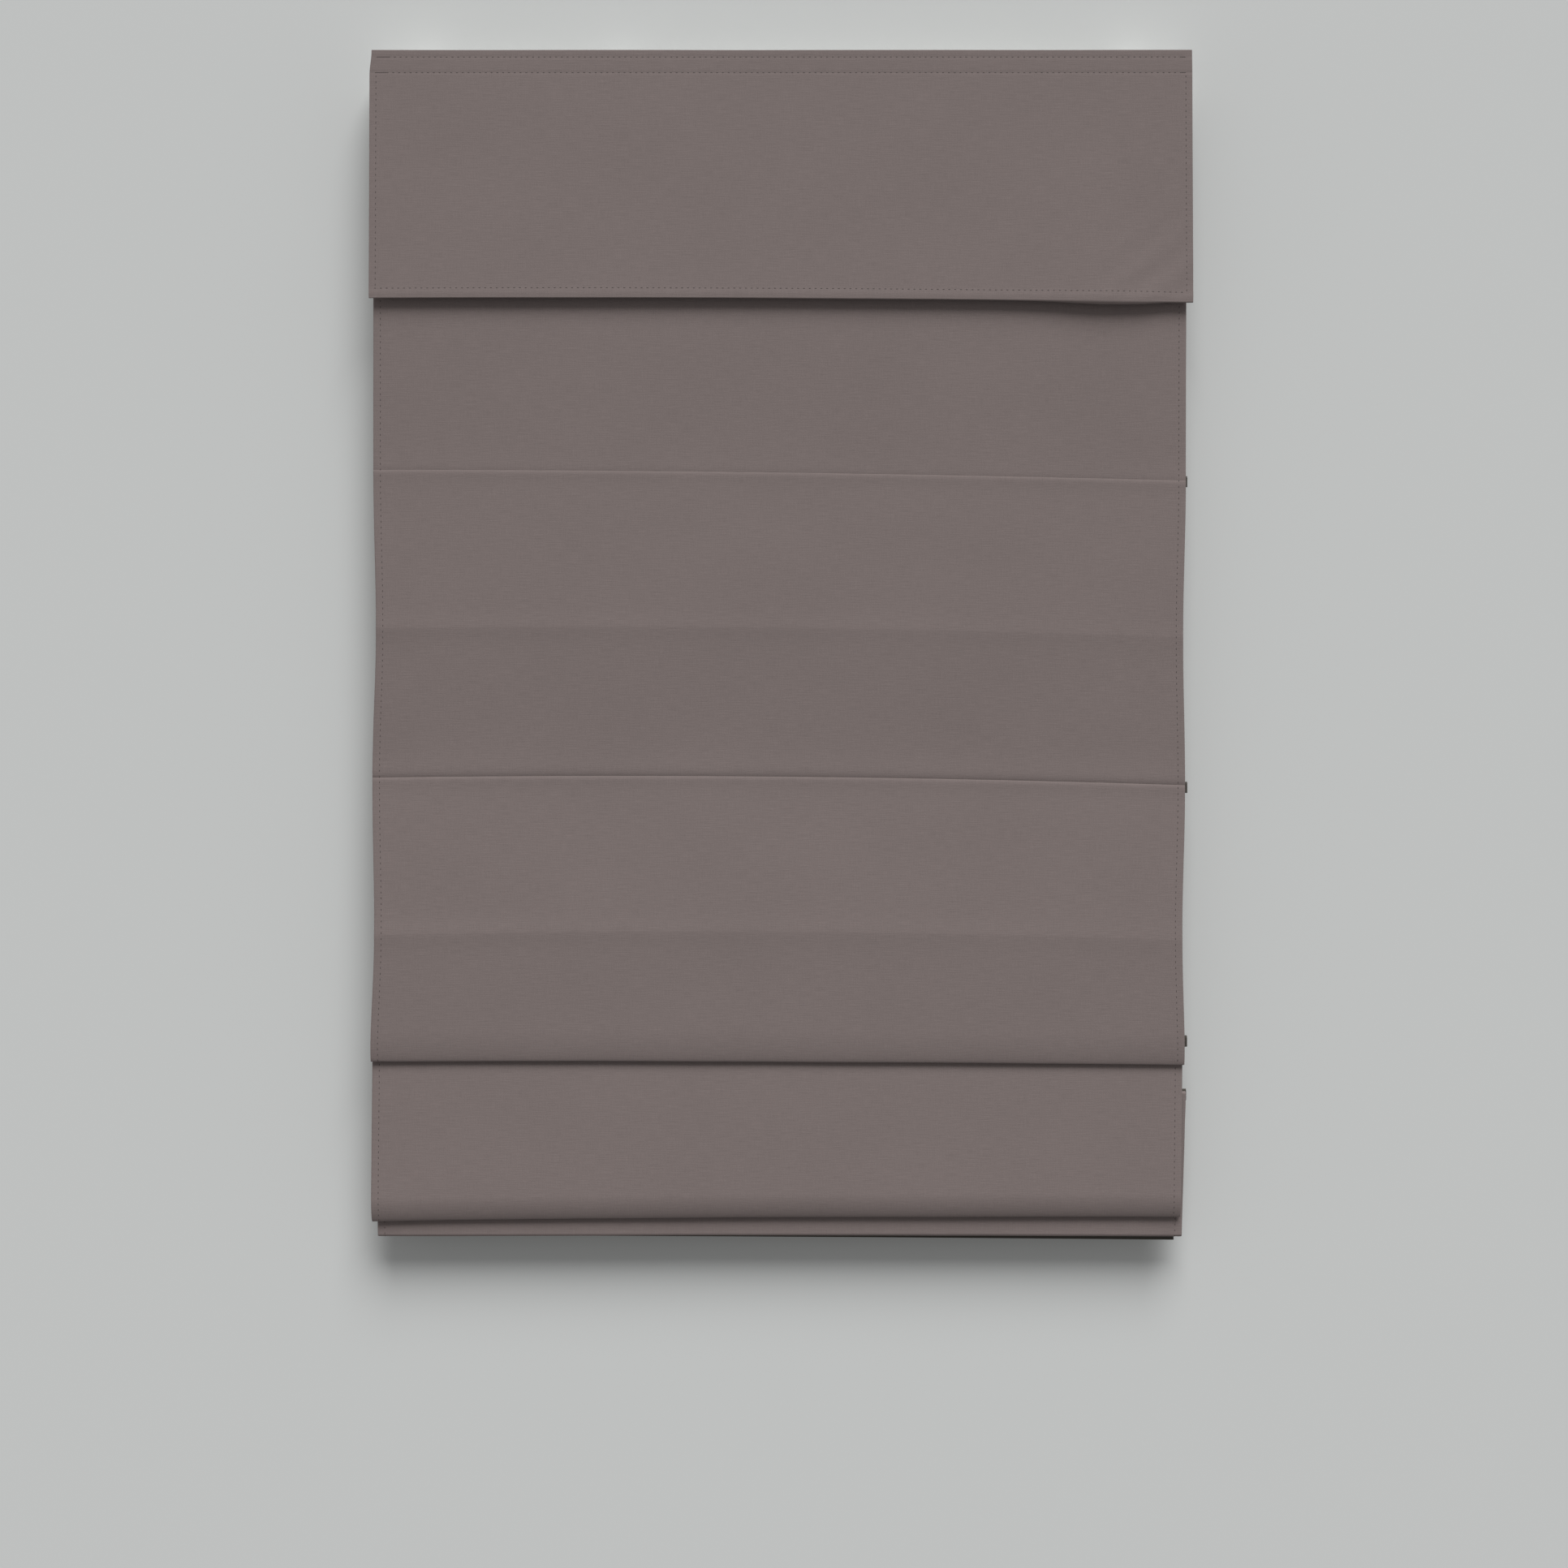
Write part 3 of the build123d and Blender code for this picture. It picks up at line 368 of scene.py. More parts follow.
def panel_rows(x, hem):
    """The panel's rows at a place across the width, and the row of each line between pieces."""
    front = PLANES[2] - RIDGE_PROUD[1]
    fold = SECOND_FOLD(x)
    corners = [
        (PANEL_TOP_Y, PANEL_TOP_Z),
        (PANEL_TOP_Y, TOP - TAPE_BOTTOM),
        (PLANES[1], FIRST_CREASE(x)),
        (PLANES[1] - RIDGE_PROUD[0], FIRST_RIDGE(x)),
        (PLANES[2], SECOND_CREASE(x)),
        (front, SECOND_RIDGE(x)),
        (front, fold + BELLY_HEIGHT[0]),
    ]
    radii = [TOP_BEND_RADIUS, VALLEY_RADIUS, RIDGE_RADIUS, VALLEY_RADIUS, RIDGE_RADIUS]
    rows, middles = rounded_rows(corners, radii, PANEL_SPANS)
    names = ("bend", "batten_1", "ridge_1", "batten_2", "ridge_2")
    marks = dict(zip(names, middles), top=0)

    for number, fold, height in ((3, fold, BELLY_HEIGHT[0]), (4, THIRD_FOLD(x), BELLY_HEIGHT[1])):
        rear = PLANES[number] - CREASE_GAP
        if number == 4:
            front = PLANES[3] - LOOP_PROUD
            ahead = (front, fold + height)
            rows += line_rows(rows[-1][:2], ahead, FRONT_LEG_ROWS)
        bottom = (rear - FOLD_RADIUS, fold)
        rows += belly_rows(rows[-1][:2], rows[-1][2], bottom, height, BELLY_ROWS)
        marks[f"fold_{number - 1}"] = len(rows) - 1
        rows += arc_rows(bottom, 0.0, pi / 2, FOLD_RADIUS, FOLD_ARC_ROWS)
        top = rod_height(number, x)
        crease_end = (rear, top - CREASE_RADIUS)
        rows += line_rows(rows[-1][:2], crease_end, REAR_LEG_ROWS[number])
        rows += arc_rows(crease_end, pi / 2, -pi / 2, CREASE_RADIUS, FOLD_ARC_ROWS)
        marks[f"batten_{number}"] = len(rows) - 1
        if number == 3:
            over = (PLANES[3] - CREASE_RADIUS, top)
            rows += line_rows(rows[-1][:2], over, 1)
            rows += arc_rows(over, 0.0, -pi / 2, CREASE_RADIUS, FOLD_ARC_ROWS)
    tail, _ = rounded_rows(*hem(x, rows[-1][0], rows[-1][1]))
    rows += tail[1:]
    marks["end"] = len(rows) - 1
    return rows, marks


# Unevenness of the cloth, along its front's normal


def lip(distance, height, width):
    """A low swell beside a crease, nothing at the crease itself."""
    t = max(distance, 0.0) / width
    return height * t * exp(1 - t)


def swell(distance, height, width):
    """A low rounded ridge."""
    return height * exp(-((distance / width) ** 2))


def waves(x, s, height, across, along, seed):
    """Smooth unevenness of a height, with so many waves per metre across and along the cloth."""
    return height * noise.noise(Vector((x * across, s * along, seed)))


def panel_relief(x, s, at):
    """How far the panel's front stands proud of its plain run."""
    fade = 1.0 - RIDGE_FADE * (x / HALF_PANEL + 1) / 2
    edge = exp(-(HALF_PANEL - abs(x)) / PUCKER_REACH)
    out = waves(x, s, *PANEL_BROAD) + waves(x, s, *PANEL_FINE)
    out += edge * waves(x, s, *PANEL_PUCKER)
    for name in ABOVE_CREASE:
        out += lip(at[name] - s, *ABOVE_CREASE[name]) + lip(s - at[name], *BELOW_CREASE[name])
    for name, (height, width) in RIDGE_SWELL.items():
        out += swell(s - at[name], height * fade, width)
    return out


def valance_relief(x, s, at):
    """How far the valance's front stands proud of its plain run."""
    down = s - at["edge"]
    reach = min(max(down / SLACK_DROP, 0.0), 1.0)
    out = reach * waves(x, s, *VALANCE_BROAD) + waves(x, s, *VALANCE_FINE)
    out += reach**3 * swell(x - SLACK_X, SLACK_HEIGHT, SLACK_WIDTH)
    corner = swell(x - CORNER_X, 1.0, CORNER_REACH) * swell(down - CORNER_DROP, 1.0, CORNER_REACH)
    place = x * WRINKLE_SLANT + down + waves(x, s, *WRINKLE_DRIFT)
    out += WRINKLE_HEIGHT * corner * sin(2 * pi * place / WRINKLE_SPACING)
    out += swell(s - at["hem_row"] - HEM_SWELL_BELOW, *HEM_SWELL)
    for row in VALANCE_ROWS:
        out -= swell(down - row, *ROW_DIMPLE)
    return out


class Cloth:
    """A swept cloth: rows by column, with its lines and its unevenness."""

    def __init__(self, rows_at, relief, half, edges):
        self.rows_at, self.relief, self.half, self.edges = rows_at, relief, half, edges
        self.columns = {}

    def column(self, x):
        """Points (x, y, z), headings and lengths down one column, with the rows of its lines."""
        key = round(x, 6)
        if key not in self.columns:
            rows, marks = self.rows_at(x)
            plain = np.array(rows)
            steps = np.hypot(np.diff(plain[:, 0]), np.diff(plain[:, 1]))
            s = np.concatenate(([0.0], np.cumsum(steps)))
            at = {name: s[row] for name, row in marks.items()}
            proud = np.array([self.relief(x, value, at) for value in s])
            heading = plain[:, 2]
            y = plain[:, 0] + proud * np.sin(heading)
            z = plain[:, 1] - proud * np.cos(heading)
            wide = np.array([self.width(x, value, at) for value in s])
            self.columns[key] = (np.column_stack((wide, y, z)), heading, s, marks)
        return self.columns[key]

    def width(self, x, s, at):
        """Where a column lies across the width, from the half widths at the cloth's lines."""
        side = 0 if x < 0 else 1
        lines = [(at[name], value[side]) for name, value in self.edges.items()]
        for (one, a), (two, b) in zip(lines, lines[1:]):
            if s <= two:
                t = min(max((s - one) / max(two - one, 1e-9), 0.0), 1.0)
                return x * (a + (b - a) * t * t * (3 - 2 * t)) / self.half
        return x * lines[-1][1] / self.half

    def layer(self, x, depth, rows):
        """The points of a stretch of a column, at a distance behind the front."""
        points, heading, _, _ = self.column(x)
        chosen, turned = points[rows], heading[rows]
        out = chosen.copy()
        out[:, 1] -= depth * np.sin(turned)
        out[:, 2] += depth * np.cos(turned)
        return out

    def spot(self, x, s):
        """The front's point, its way down and its outward normal at a length down a column."""
        points, heading, lengths, _ = self.column(x)
        where = Vector([float(np.interp(s, lengths, points[:, k])) for k in range(3)])
        now = float(np.interp(s, lengths, np.unwrap(heading)))
        return where, Vector((0, cos(now), sin(now))), Vector((0, sin(now), -cos(now)))


def add_mesh(name, vertices, faces, material, uvs=None, sharp=radians(48)):
    """A smooth-shaded mesh object, with its faces wound as they are given."""
    mesh = bpy.data.meshes.new(name)
    mesh.from_pydata([tuple(v) for v in vertices], [], faces)
    if uvs is not None:
        layer = mesh.uv_layers.new(name="cloth")
        corners = np.empty(len(mesh.loops), dtype=np.int64)
        mesh.loops.foreach_get("vertex_index", corners)
        layer.data.foreach_set("uv", np.asarray(uvs, dtype=np.float32)[corners].ravel())
    mesh.polygons.foreach_set("use_smooth", [True] * len(mesh.polygons))
    mesh.update()
    mesh.set_sharp_from_angle(angle=sharp)
    mesh.materials.append(material)
    made = bpy.data.objects.new(name, mesh)
    bpy.context.scene.collection.objects.link(made)
    return made


def ring_faces(count, loops):
    """Quads between loops of vertices that follow each other."""
    faces = []
    for r in range(loops - 1):
        for k in range(count):
            n = (k + 1) % count
            faces.append((r * count + k, r * count + n, (r + 1) * count + n, (r + 1) * count + k))
    return faces


def shell(name, cloth, xs, rows, near, backs, material):
    """A closed shell of cloth between two rows: xs are its columns, backs their depths behind the front."""
    count = len(xs)
    radius = (backs[0] - near) / 2
    turn = 4
    layers = [cloth.layer(x, near, rows) for x in xs]
    lengths = [cloth.column(x)[2][rows] for x in xs]
    across = list(xs)
    for side in (1, -1):
        edge = xs[-1] if side == 1 else xs[0]
        for k in range(1, turn):
            angle = side * (pi * k / turn - pi / 2)
            depth = near + radius * (1 + sin(angle))
            points = cloth.layer(edge, depth, rows)
            points[:, 0] += side * radius * cos(angle)
            layers.append(points)
            lengths.append(cloth.column(edge)[2][rows])
            across.append(edge + side * radius * cos(angle))
        if side == 1:
            for x, back in reversed(list(zip(xs, backs))):
                layers.append(cloth.layer(x, back, rows))
                lengths.append(cloth.column(x)[2][rows])
                across.append(x)
    loop = len(layers)
    steps = len(layers[0])
    vertices = np.stack(layers, axis=1).reshape(-1, 3)
    uvs = np.stack([np.column_stack((np.full(steps, a), l)) for a, l in zip(across, lengths)], axis=1)
    faces = ring_faces(loop, steps)
    back = [2 * count + turn - 2 - i for i in range(count)]
    for base, flip in ((0, True), ((steps - 1) * loop, False)):
        caps = [(i, i + 1, back[i + 1], back[i]) for i in range(count - 1)]
        caps.append(tuple(range(count - 1, count + turn)))
        caps.append(tuple(list(range(back[0], loop)) + [0]))
        for cap in caps:
            cap = tuple(base + i for i in cap)
            faces.append(cap[::-1] if flip else cap)
    faces = [face[::-1] for face in faces]
    return add_mesh(name, vertices, faces, material, uvs.reshape(-1, 2))


def capsule(centre, along, across, up, length, width, height):
    """A flattened bead of thread: its vertices and faces."""
    sides, vertices = 6, []
    profile = ((-0.5, 0.0), (-0.36, 0.8), (0.0, 1.0), (0.36, 0.8), (0.5, 0.0))
    for share, full in profile:
        for k in range(sides):
            angle = 2 * pi * k / sides
            point = centre + along * (share * length)
            point = point + across * (cos(angle) * full * width / 2)
            vertices.append(point + up * (sin(angle) * full * height / 2))
    return vertices, [face[::-1] for face in ring_faces(sides, len(profile))]


def stitches(name, spots, material, length=STITCH_LENGTH, width=STITCH_WIDTH):
    """Beads of thread, one for each (point, way along, normal)."""
    vertices, faces = [], []
    for point, along, normal in spots:
        along = along.normalized()
        across = normal.cross(along).normalized()
        beads, sides = capsule(point, along, across, normal, length, width, width * STITCH_FLATNESS)
        start = len(vertices)
        vertices += beads
        faces += [tuple(start + i for i in face) for face in sides]
    return add_mesh(name, vertices, faces, material)


def tube(name, points, radius, sides, material, closed=False):
    """A round tube along points."""
    points = [Vector(p) for p in points]
    count = len(points)
    vertices = []
    normal = None
    for i, point in enumerate(points):
        before = points[i - 1] if i or closed else point
        after = points[(i + 1) % count] if closed or i < count - 1 else point
        way = (after - before).normalized()
        if normal is None:
            normal = way.orthogonal().normalized()
        normal = (normal - way * normal.dot(way)).normalized()
        other = way.cross(normal)
        for k in range(sides):
            angle = 2 * pi * k / sides
            vertices.append(point + (normal * cos(angle) + other * sin(angle)) * radius)
    faces = ring_faces(sides, count)
    if closed:
        last = (count - 1) * sides
        faces += [(last + k, last + (k + 1) % sides, (k + 1) % sides, k) for k in range(sides)]
    else:
        faces.append(tuple(reversed(range(sides))))
        faces.append(tuple((count - 1) * sides + k for k in range(sides)))
    return add_mesh(name, vertices, faces, material, sharp=radians(60))


def join(name, parts):
    """One object from several."""
    with bpy.context.temp_override(active_object=parts[0], selected_editable_objects=parts):
        bpy.ops.object.join()
    parts[0].name = name
    return parts[0]


# Materials


def plain(name, color, roughness, metallic=0.0):
    """A new material with its shader's own sockets set."""
    made = bpy.data.materials.new(name)
    made.use_nodes = True
    shader = made.node_tree.nodes["Principled BSDF"]
    shader.inputs["Base Color"].default_value = (*color, 1.0)
    shader.inputs["Roughness"].default_value = roughness
    shader.inputs["Metallic"].default_value = metallic
    return made, made.node_tree, shader


def add_node(tree, kind, settings=(), **inputs):
    """A node with its properties and its input values."""
    made = tree.nodes.new(kind)
    for key, value in dict(settings).items():
        setattr(made, key, value)
    for key, value in inputs.items():
        made.inputs[key].default_value = value
    return made


def math_node(tree, operation, a, b=None):
    """A math node from sockets or numbers."""
    made = tree.nodes.new("ShaderNodeMath")
    made.operation = operation
    for socket, value in zip(made.inputs, (a, b)):
        if isinstance(value, bpy.types.NodeSocket):
            tree.links.new(value, socket)
        elif value is not None:
            socket.default_value = value
    return made.outputs[0]


def scaled_noise(tree, vector, scale, detail=2.0):
    """Noise over a vector stretched by its own scale on each axis."""
    stretch = add_node(tree, "ShaderNodeVectorMath", {"operation": "MULTIPLY"})
    tree.links.new(vector, stretch.inputs[0])
    stretch.inputs[1].default_value = scale
    made = add_node(tree, "ShaderNodeTexNoise", Scale=1.0, Detail=detail)
    tree.links.new(stretch.outputs[0], made.inputs["Vector"])
    return made.outputs["Fac"]


def tint(tree, shader, color, factor):
    """Paint a colour that a varying factor makes lighter or darker."""
    mix = tree.nodes.new("ShaderNodeVectorMath")
    mix.operation = "SCALE"
    mix.inputs[0].default_value = color
    tree.links.new(factor, mix.inputs["Scale"])
    tree.links.new(mix.outputs[0], shader.inputs["Base Color"])


def bump(tree, shader, height, distance, strength=1.0):
    """Raise the surface by a height socket."""
    made = add_node(tree, "ShaderNodeBump", Strength=strength, Distance=distance)
    tree.links.new(height, made.inputs["Height"])
    tree.links.new(made.outputs[0], shader.inputs["Normal"])


def cloth_material(name, color, pitch, slub, sheen, roughness=0.88):
    """A plain weave with slubs in both threads and slow unevenness of dye."""
    made, tree, shader = plain(name, color, roughness)
    uv = add_node(tree, "ShaderNodeUVMap", {"uv_map": "cloth"}).outputs[0]
    apart = add_node(tree, "ShaderNodeSeparateXYZ")
    tree.links.new(uv, apart.inputs[0])
    turn = 2 * pi / pitch
    warp = math_node(tree, "SINE", math_node(tree, "MULTIPLY", apart.outputs[0], turn))
    weft = math_node(tree, "SINE", math_node(tree, "MULTIPLY", apart.outputs[1], turn))
    weave = math_node(tree, "MULTIPLY", warp, weft)
    weft_slub = scaled_noise(tree, uv, (55.0, 1300.0, 1.0))
    warp_slub = scaled_noise(tree, uv, (1300.0, 70.0, 1.0))
    dye = scaled_noise(tree, uv, (7.0, 9.0, 1.0), 4.0)
    slubs = math_node(tree, "ADD", weft_slub, math_node(tree, "MULTIPLY", warp_slub, 0.6))
    tone = math_node(tree, "MULTIPLY", math_node(tree, "SUBTRACT", slubs, 0.8), slub)
    tone = math_node(tree, "ADD", tone, math_node(tree, "MULTIPLY", weave, 0.035))
    tone = math_node(tree, "ADD", tone, math_node(tree, "MULTIPLY", dye, 0.10))
    tint(tree, shader, color, math_node(tree, "ADD", tone, 0.95))
    height = math_node(tree, "ADD", math_node(tree, "MULTIPLY", weave, 0.5), slubs)
    bump(tree, shader, height, 0.00022, 0.7)
    shader.inputs["Sheen Weight"].default_value = sheen
    shader.inputs["Sheen Roughness"].default_value = 0.45
    shader.inputs["Sheen Tint"].default_value = (1.0, 0.97, 0.95, 1.0)
    shader.inputs["Specular IOR Level"].default_value = 0.25
    return made


def grained(name, color, roughness, grain, depth, metallic=0.0, variation=0.03, coat=0.0):
    """A hard surface with a fine grain, set by its waves per metre on each axis."""
    made, tree, shader = plain(name, color, roughness, metallic)
    place = add_node(tree, "ShaderNodeTexCoord").outputs["Object"]
    fine = scaled_noise(tree, place, grain, 3.0)
    broad = scaled_noise(tree, place, (14.0, 14.0, 14.0), 3.0)
    tone = math_node(tree, "ADD", math_node(tree, "MULTIPLY", fine, variation), 1 - variation)
    tone = math_node(tree, "ADD", tone, math_node(tree, "MULTIPLY", broad, variation))
    tint(tree, shader, color, tone)
    bump(tree, shader, fine, depth, 0.6)
    shader.inputs["Coat Weight"].default_value = coat
    return made


def braid_material(name, color):
    """A braided cord, with crossing strands."""
    made, tree, shader = plain(name, color, 0.7)
    place = add_node(tree, "ShaderNodeTexCoord").outputs["Object"]
    apart = add_node(tree, "ShaderNodeSeparateXYZ")
    tree.links.new(place, apart.inputs[0])
    side = math_node(tree, "ADD", apart.outputs[0], apart.outputs[1])
    strands = []
    for sense in (1.0, -1.0):
        lean = math_node(tree, "MULTIPLY", side, sense * 4500.0)
        rise = math_node(tree, "MULTIPLY", apart.outputs[2], 5200.0)
        strands.append(math_node(tree, "SINE", math_node(tree, "ADD", lean, rise)))
    weave = math_node(tree, "MULTIPLY", *strands)
    tint(tree, shader, color, math_node(tree, "ADD", math_node(tree, "MULTIPLY", weave, 0.12), 0.92))
    bump(tree, shader, weave, 0.00015, 0.7)
    shader.inputs["Sheen Weight"].default_value = 0.1
    return made


def tape_material(name, color, pitch, depth):
    """Rows of hooks or a nap of loops."""
    made, tree, shader = plain(name, color, 0.85)
    place = add_node(tree, "ShaderNodeTexCoord").outputs["Object"]
    apart = add_node(tree, "ShaderNodeSeparateXYZ")
    tree.links.new(place, apart.inputs[0])
    turn = 2 * pi / pitch
    across = math_node(tree, "SINE", math_node(tree, "MULTIPLY", apart.outputs[0], turn))
    down = math_node(tree, "SINE", math_node(tree, "MULTIPLY", apart.outputs[2], turn))
    nap = scaled_noise(tree, place, (1400.0, 1400.0, 1400.0), 3.0)
    height = math_node(tree, "ADD", math_node(tree, "MULTIPLY", across, down), nap)
    tone = math_node(tree, "ADD", math_node(tree, "MULTIPLY", height, 0.08), 0.88)
    tint(tree, shader, color, tone)
    bump(tree, shader, height, depth)
    return made


FACE_COLOR = (0.178, 0.145, 0.139)
LINING_COLOR = (0.056, 0.050, 0.043)
MATERIALS = {
    "face_fabric": cloth_material("face_fabric", FACE_COLOR, 0.0011, 0.30, 0.10),
    "lining_fabric": cloth_material("lining_fabric", LINING_COLOR, 0.0008, 0.18, 0.06),
    "hook_tape": tape_material("hook_tape", (0.75, 0.75, 0.72), 0.0016, 0.0004),
    "loop_tape": tape_material("loop_tape", (0.73, 0.71, 0.66), 0.0009, 0.0003),
    "batten": grained("batten", (0.78, 0.76, 0.70), 0.38, (60.0, 1500.0, 1500.0), 0.00003),
    "ring": grained("ring", (0.84, 0.84, 0.81), 0.16, (300.0, 300.0, 300.0), 0.00001, coat=0.4),
    "cord": braid_material("cord", (0.79, 0.77, 0.72)),
    "rail_enamel": grained(
        "rail_enamel", (0.80, 0.80, 0.77), 0.30, (420.0, 420.0, 420.0), 0.00004, coat=0.3
    ),
    "bracket_enamel": grained(
        "bracket_enamel", (0.72, 0.72, 0.69), 0.34, (520.0, 520.0, 520.0), 0.00006, coat=0.2
    ),
    "cap_plastic": grained("cap_plastic", (0.80, 0.80, 0.77), 0.52, (2200.0, 2200.0, 2200.0), 0.00005),
    "bar_aluminium": grained(
        "bar_aluminium", (0.76, 0.76, 0.77), 0.34, (40.0, 2600.0, 2600.0), 0.00003, metallic=1.0
    ),
    "tip_plastic": grained("tip_plastic", (0.75, 0.75, 0.72), 0.42, (1500.0, 1500.0, 1500.0), 0.00003),
    "shaft_steel": grained(
        "shaft_steel", (0.60, 0.60, 0.62), 0.32, (30.0, 2400.0, 2400.0), 0.00003, metallic=1.0
    ),
    "cradle_plastic": grained(
        "cradle_plastic", (0.76, 0.76, 0.73), 0.44, (1400.0, 1400.0, 1400.0), 0.00003
    ),
    "spool_plastic": grained(
        "spool_plastic", (0.66, 0.66, 0.63), 0.36, (900.0, 900.0, 900.0), 0.00002
    ),
    "motor_plastic": grained(
        "motor_plastic", (0.64, 0.64, 0.62), 0.55, (2400.0, 2400.0, 2400.0), 0.00006
    ),
    "spring_steel": grained(
        "spring_steel", (0.26, 0.28, 0.34), 0.30, (30.0, 1800.0, 1800.0), 0.00002, metallic=1.0
    ),
}
# Dark stitch thread: a thread a little darker than the cloth, with the painted shade of the sunk stitch
# holes in its colour
THREAD_AND_HOLE_SHADE = grained("thread_dark", (0.060, 0.047, 0.045), 0.8, (5000.0, 5000.0, 5000.0), 0.00004)
THREAD_PALE = grained("thread_pale", (0.70, 0.68, 0.64), 0.8, (5000.0, 5000.0, 5000.0), 0.00004)

for part in frame["record"]["subparts"]:
    for place in NODES[part["node"]].material_slots:
        place.material = MATERIALS[part["material_slot"]]


# The panel: face cloth and lining, in sections; a section with one body rides on that batten

FACE = Cloth(lambda x: panel_rows(x, hem_rows), panel_relief, HALF_PANEL, PANEL_EDGES)
LINING = Cloth(lambda x: panel_rows(x, lining_hem_rows), panel_relief, HALF_PANEL, PANEL_EDGES)


def column_places(half, hem, spacing=0.009):
    """Places of the columns across a cloth, closer together at its edges and hems."""
    edge = [half - HEM_BACK / 2] + [half - inward for inward in EDGE_COLUMNS]
    edge += [half - hem - beside for beside in HEM_COLUMNS]
    edge = sorted({round(x, 6) for x in edge})
    inner = edge[0]
    spans = round(2 * inner / spacing)
    middle = [-inner + 2 * inner * k / spans for k in range(spans + 1)]
    return [-x for x in reversed(edge[1:])] + middle + edge[1:]


def section_rows(cloth, first, last):
    """The rows of a section, and its length down the middle."""
    _, _, lengths, marks = cloth.column(0.0)
    rows = slice(marks[first], marks[last] + 1)
    return rows, float(lengths[marks[last]] - lengths[marks[first]])


def line_point(cloth, mark, pick):
    """The lowest or highest of five places along a line across the cloth."""
    ends = (-HALF_PANEL, -HALF_PANEL / 2, 0.0, HALF_PANEL / 2, HALF_PANEL)
    points = [cloth.column(x)[0][cloth.column(x)[3][mark]] for x in ends]
    return pick(points, key=lambda p: p[2])


def follow(piece, cloth, first, last, bodies):
    """Let a section's piece ride on its body; a piece between two bodies is baked where it stands and rides
    on neither.
    """
    if len(bodies) == 1:
        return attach(piece, bodies[0])
    points, _, _, marks = cloth.column(0.0)
    falls = points[marks[last]][2] < points[marks[first]][2]
    start = line_point(cloth, first, min if falls else max)
    end = line_point(cloth, last, max if falls else min)
    if first == "top":
        start = (0.0, start[1], TOP - HEAD_HOLD_DROP)
    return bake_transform(piece)


def side_row(cloth, inset, first, last):
    """Stitch spots down both side hems of a section."""
    spots = []
    for x in (inset - cloth.half, cloth.half - inset):
        _, _, lengths, marks = cloth.column(x)
        start, end = lengths[marks[first]], lengths[marks[last]]
        s = (int(start / STITCH_PITCH) + 1) * STITCH_PITCH
        while s < end:
            spots.append(cloth.spot(x, s))
            s += STITCH_PITCH
    return spots


PANEL_XS = column_places(HALF_PANEL, SIDE_HEM)
HEM_BACKS = [HEM_BACK if HALF_PANEL - abs(x) <= SIDE_HEM + 1e-6 else FACE_BACK for x in PANEL_XS]
LINING_EDGE = HALF_PANEL - LINING_INSET
LINING_XS = [-LINING_EDGE] + [x for x in PANEL_XS if abs(x) < LINING_EDGE - 0.001] + [LINING_EDGE]

for title, first, last, bodies in SECTIONS:
    rows, length = section_rows(FACE, first, last)
    face = shell(f"face_{title}", FACE, PANEL_XS, rows, 0.0, HEM_BACKS, MATERIALS["face_fabric"])
    seam = stitches(f"side_stitches_{title}", side_row(FACE, PANEL_SIDE_ROW, first, last), THREAD_AND_HOLE_SHADE)
    sewn = [seam]
    if last == "end":
        spots = []
        for k in range(round(2 * (HALF_PANEL - SIDE_HEM) / STITCH_PITCH)):
            x = -(HALF_PANEL - SIDE_HEM) + k * STITCH_PITCH
            _, _, lengths, _ = FACE.column(x)
            point, _, normal = FACE.spot(x, lengths[-1] - HEM_HEIGHT + HEM_ROW_ABOVE)
            spots.append((point, Vector((1, 0, 0)), normal))
        sewn.append(stitches("hem_stitches", spots, THREAD_AND_HOLE_SHADE))
    for piece in [face] + sewn:
        follow(piece, FACE, first, last, bodies)
        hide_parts("face_panel")

    rows, length = section_rows(LINING, first, last)
    backs = [LINING_BACK] * len(LINING_XS)
    back = shell(
        f"lining_{title}", LINING, LINING_XS, rows, LINING_FRONT, backs, MATERIALS["lining_fabric"]
    )
    follow(back, LINING, first, last, bodies)
    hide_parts("lining")


# The valance: one cloth, hemmed on all four sides


def valance_rows(x):
    """The valance's rows at a place across the width: down behind its top, and up behind its bottom."""
    bottom = VALANCE_BOTTOM(x)
    bend = TOP - VALANCE_TOP_HEM
    low = VALANCE_FRONT - VALANCE_FLARE
    behind = HEM_BACK
    corners = [
        (VALANCE_FRONT + behind, bend),
        (VALANCE_FRONT + behind, TOP),
        (VALANCE_FRONT, TOP),
        (VALANCE_FRONT, bend),
        (low, bottom),
        (low + behind, bottom),
        (low + behind + VALANCE_FLARE * VALANCE_HEM / (bend - bottom), bottom + VALANCE_HEM),
    ]
    radii = [VALANCE_TURN, VALANCE_TURN, TOP_BEND_RADIUS, VALANCE_TURN, VALANCE_TURN]
    rows, middles = rounded_rows(corners, radii, VALANCE_SPANS)
    arc_end = middles[1] + VALANCE_SPANS[3] // 2
    marks = {"start": 0, "edge": arc_end, "bend": middles[2], "bottom": middles[3]}
    lengths = np.cumsum([0.0] + [hypot(b[0] - a[0], b[1] - a[1]) for a, b in zip(rows, rows[1:])])
    marks["hem_row"] = int(np.searchsorted(lengths, lengths[middles[3]] - VALANCE_HEM_ROW))
    marks["end"] = len(rows) - 1
    return rows, marks


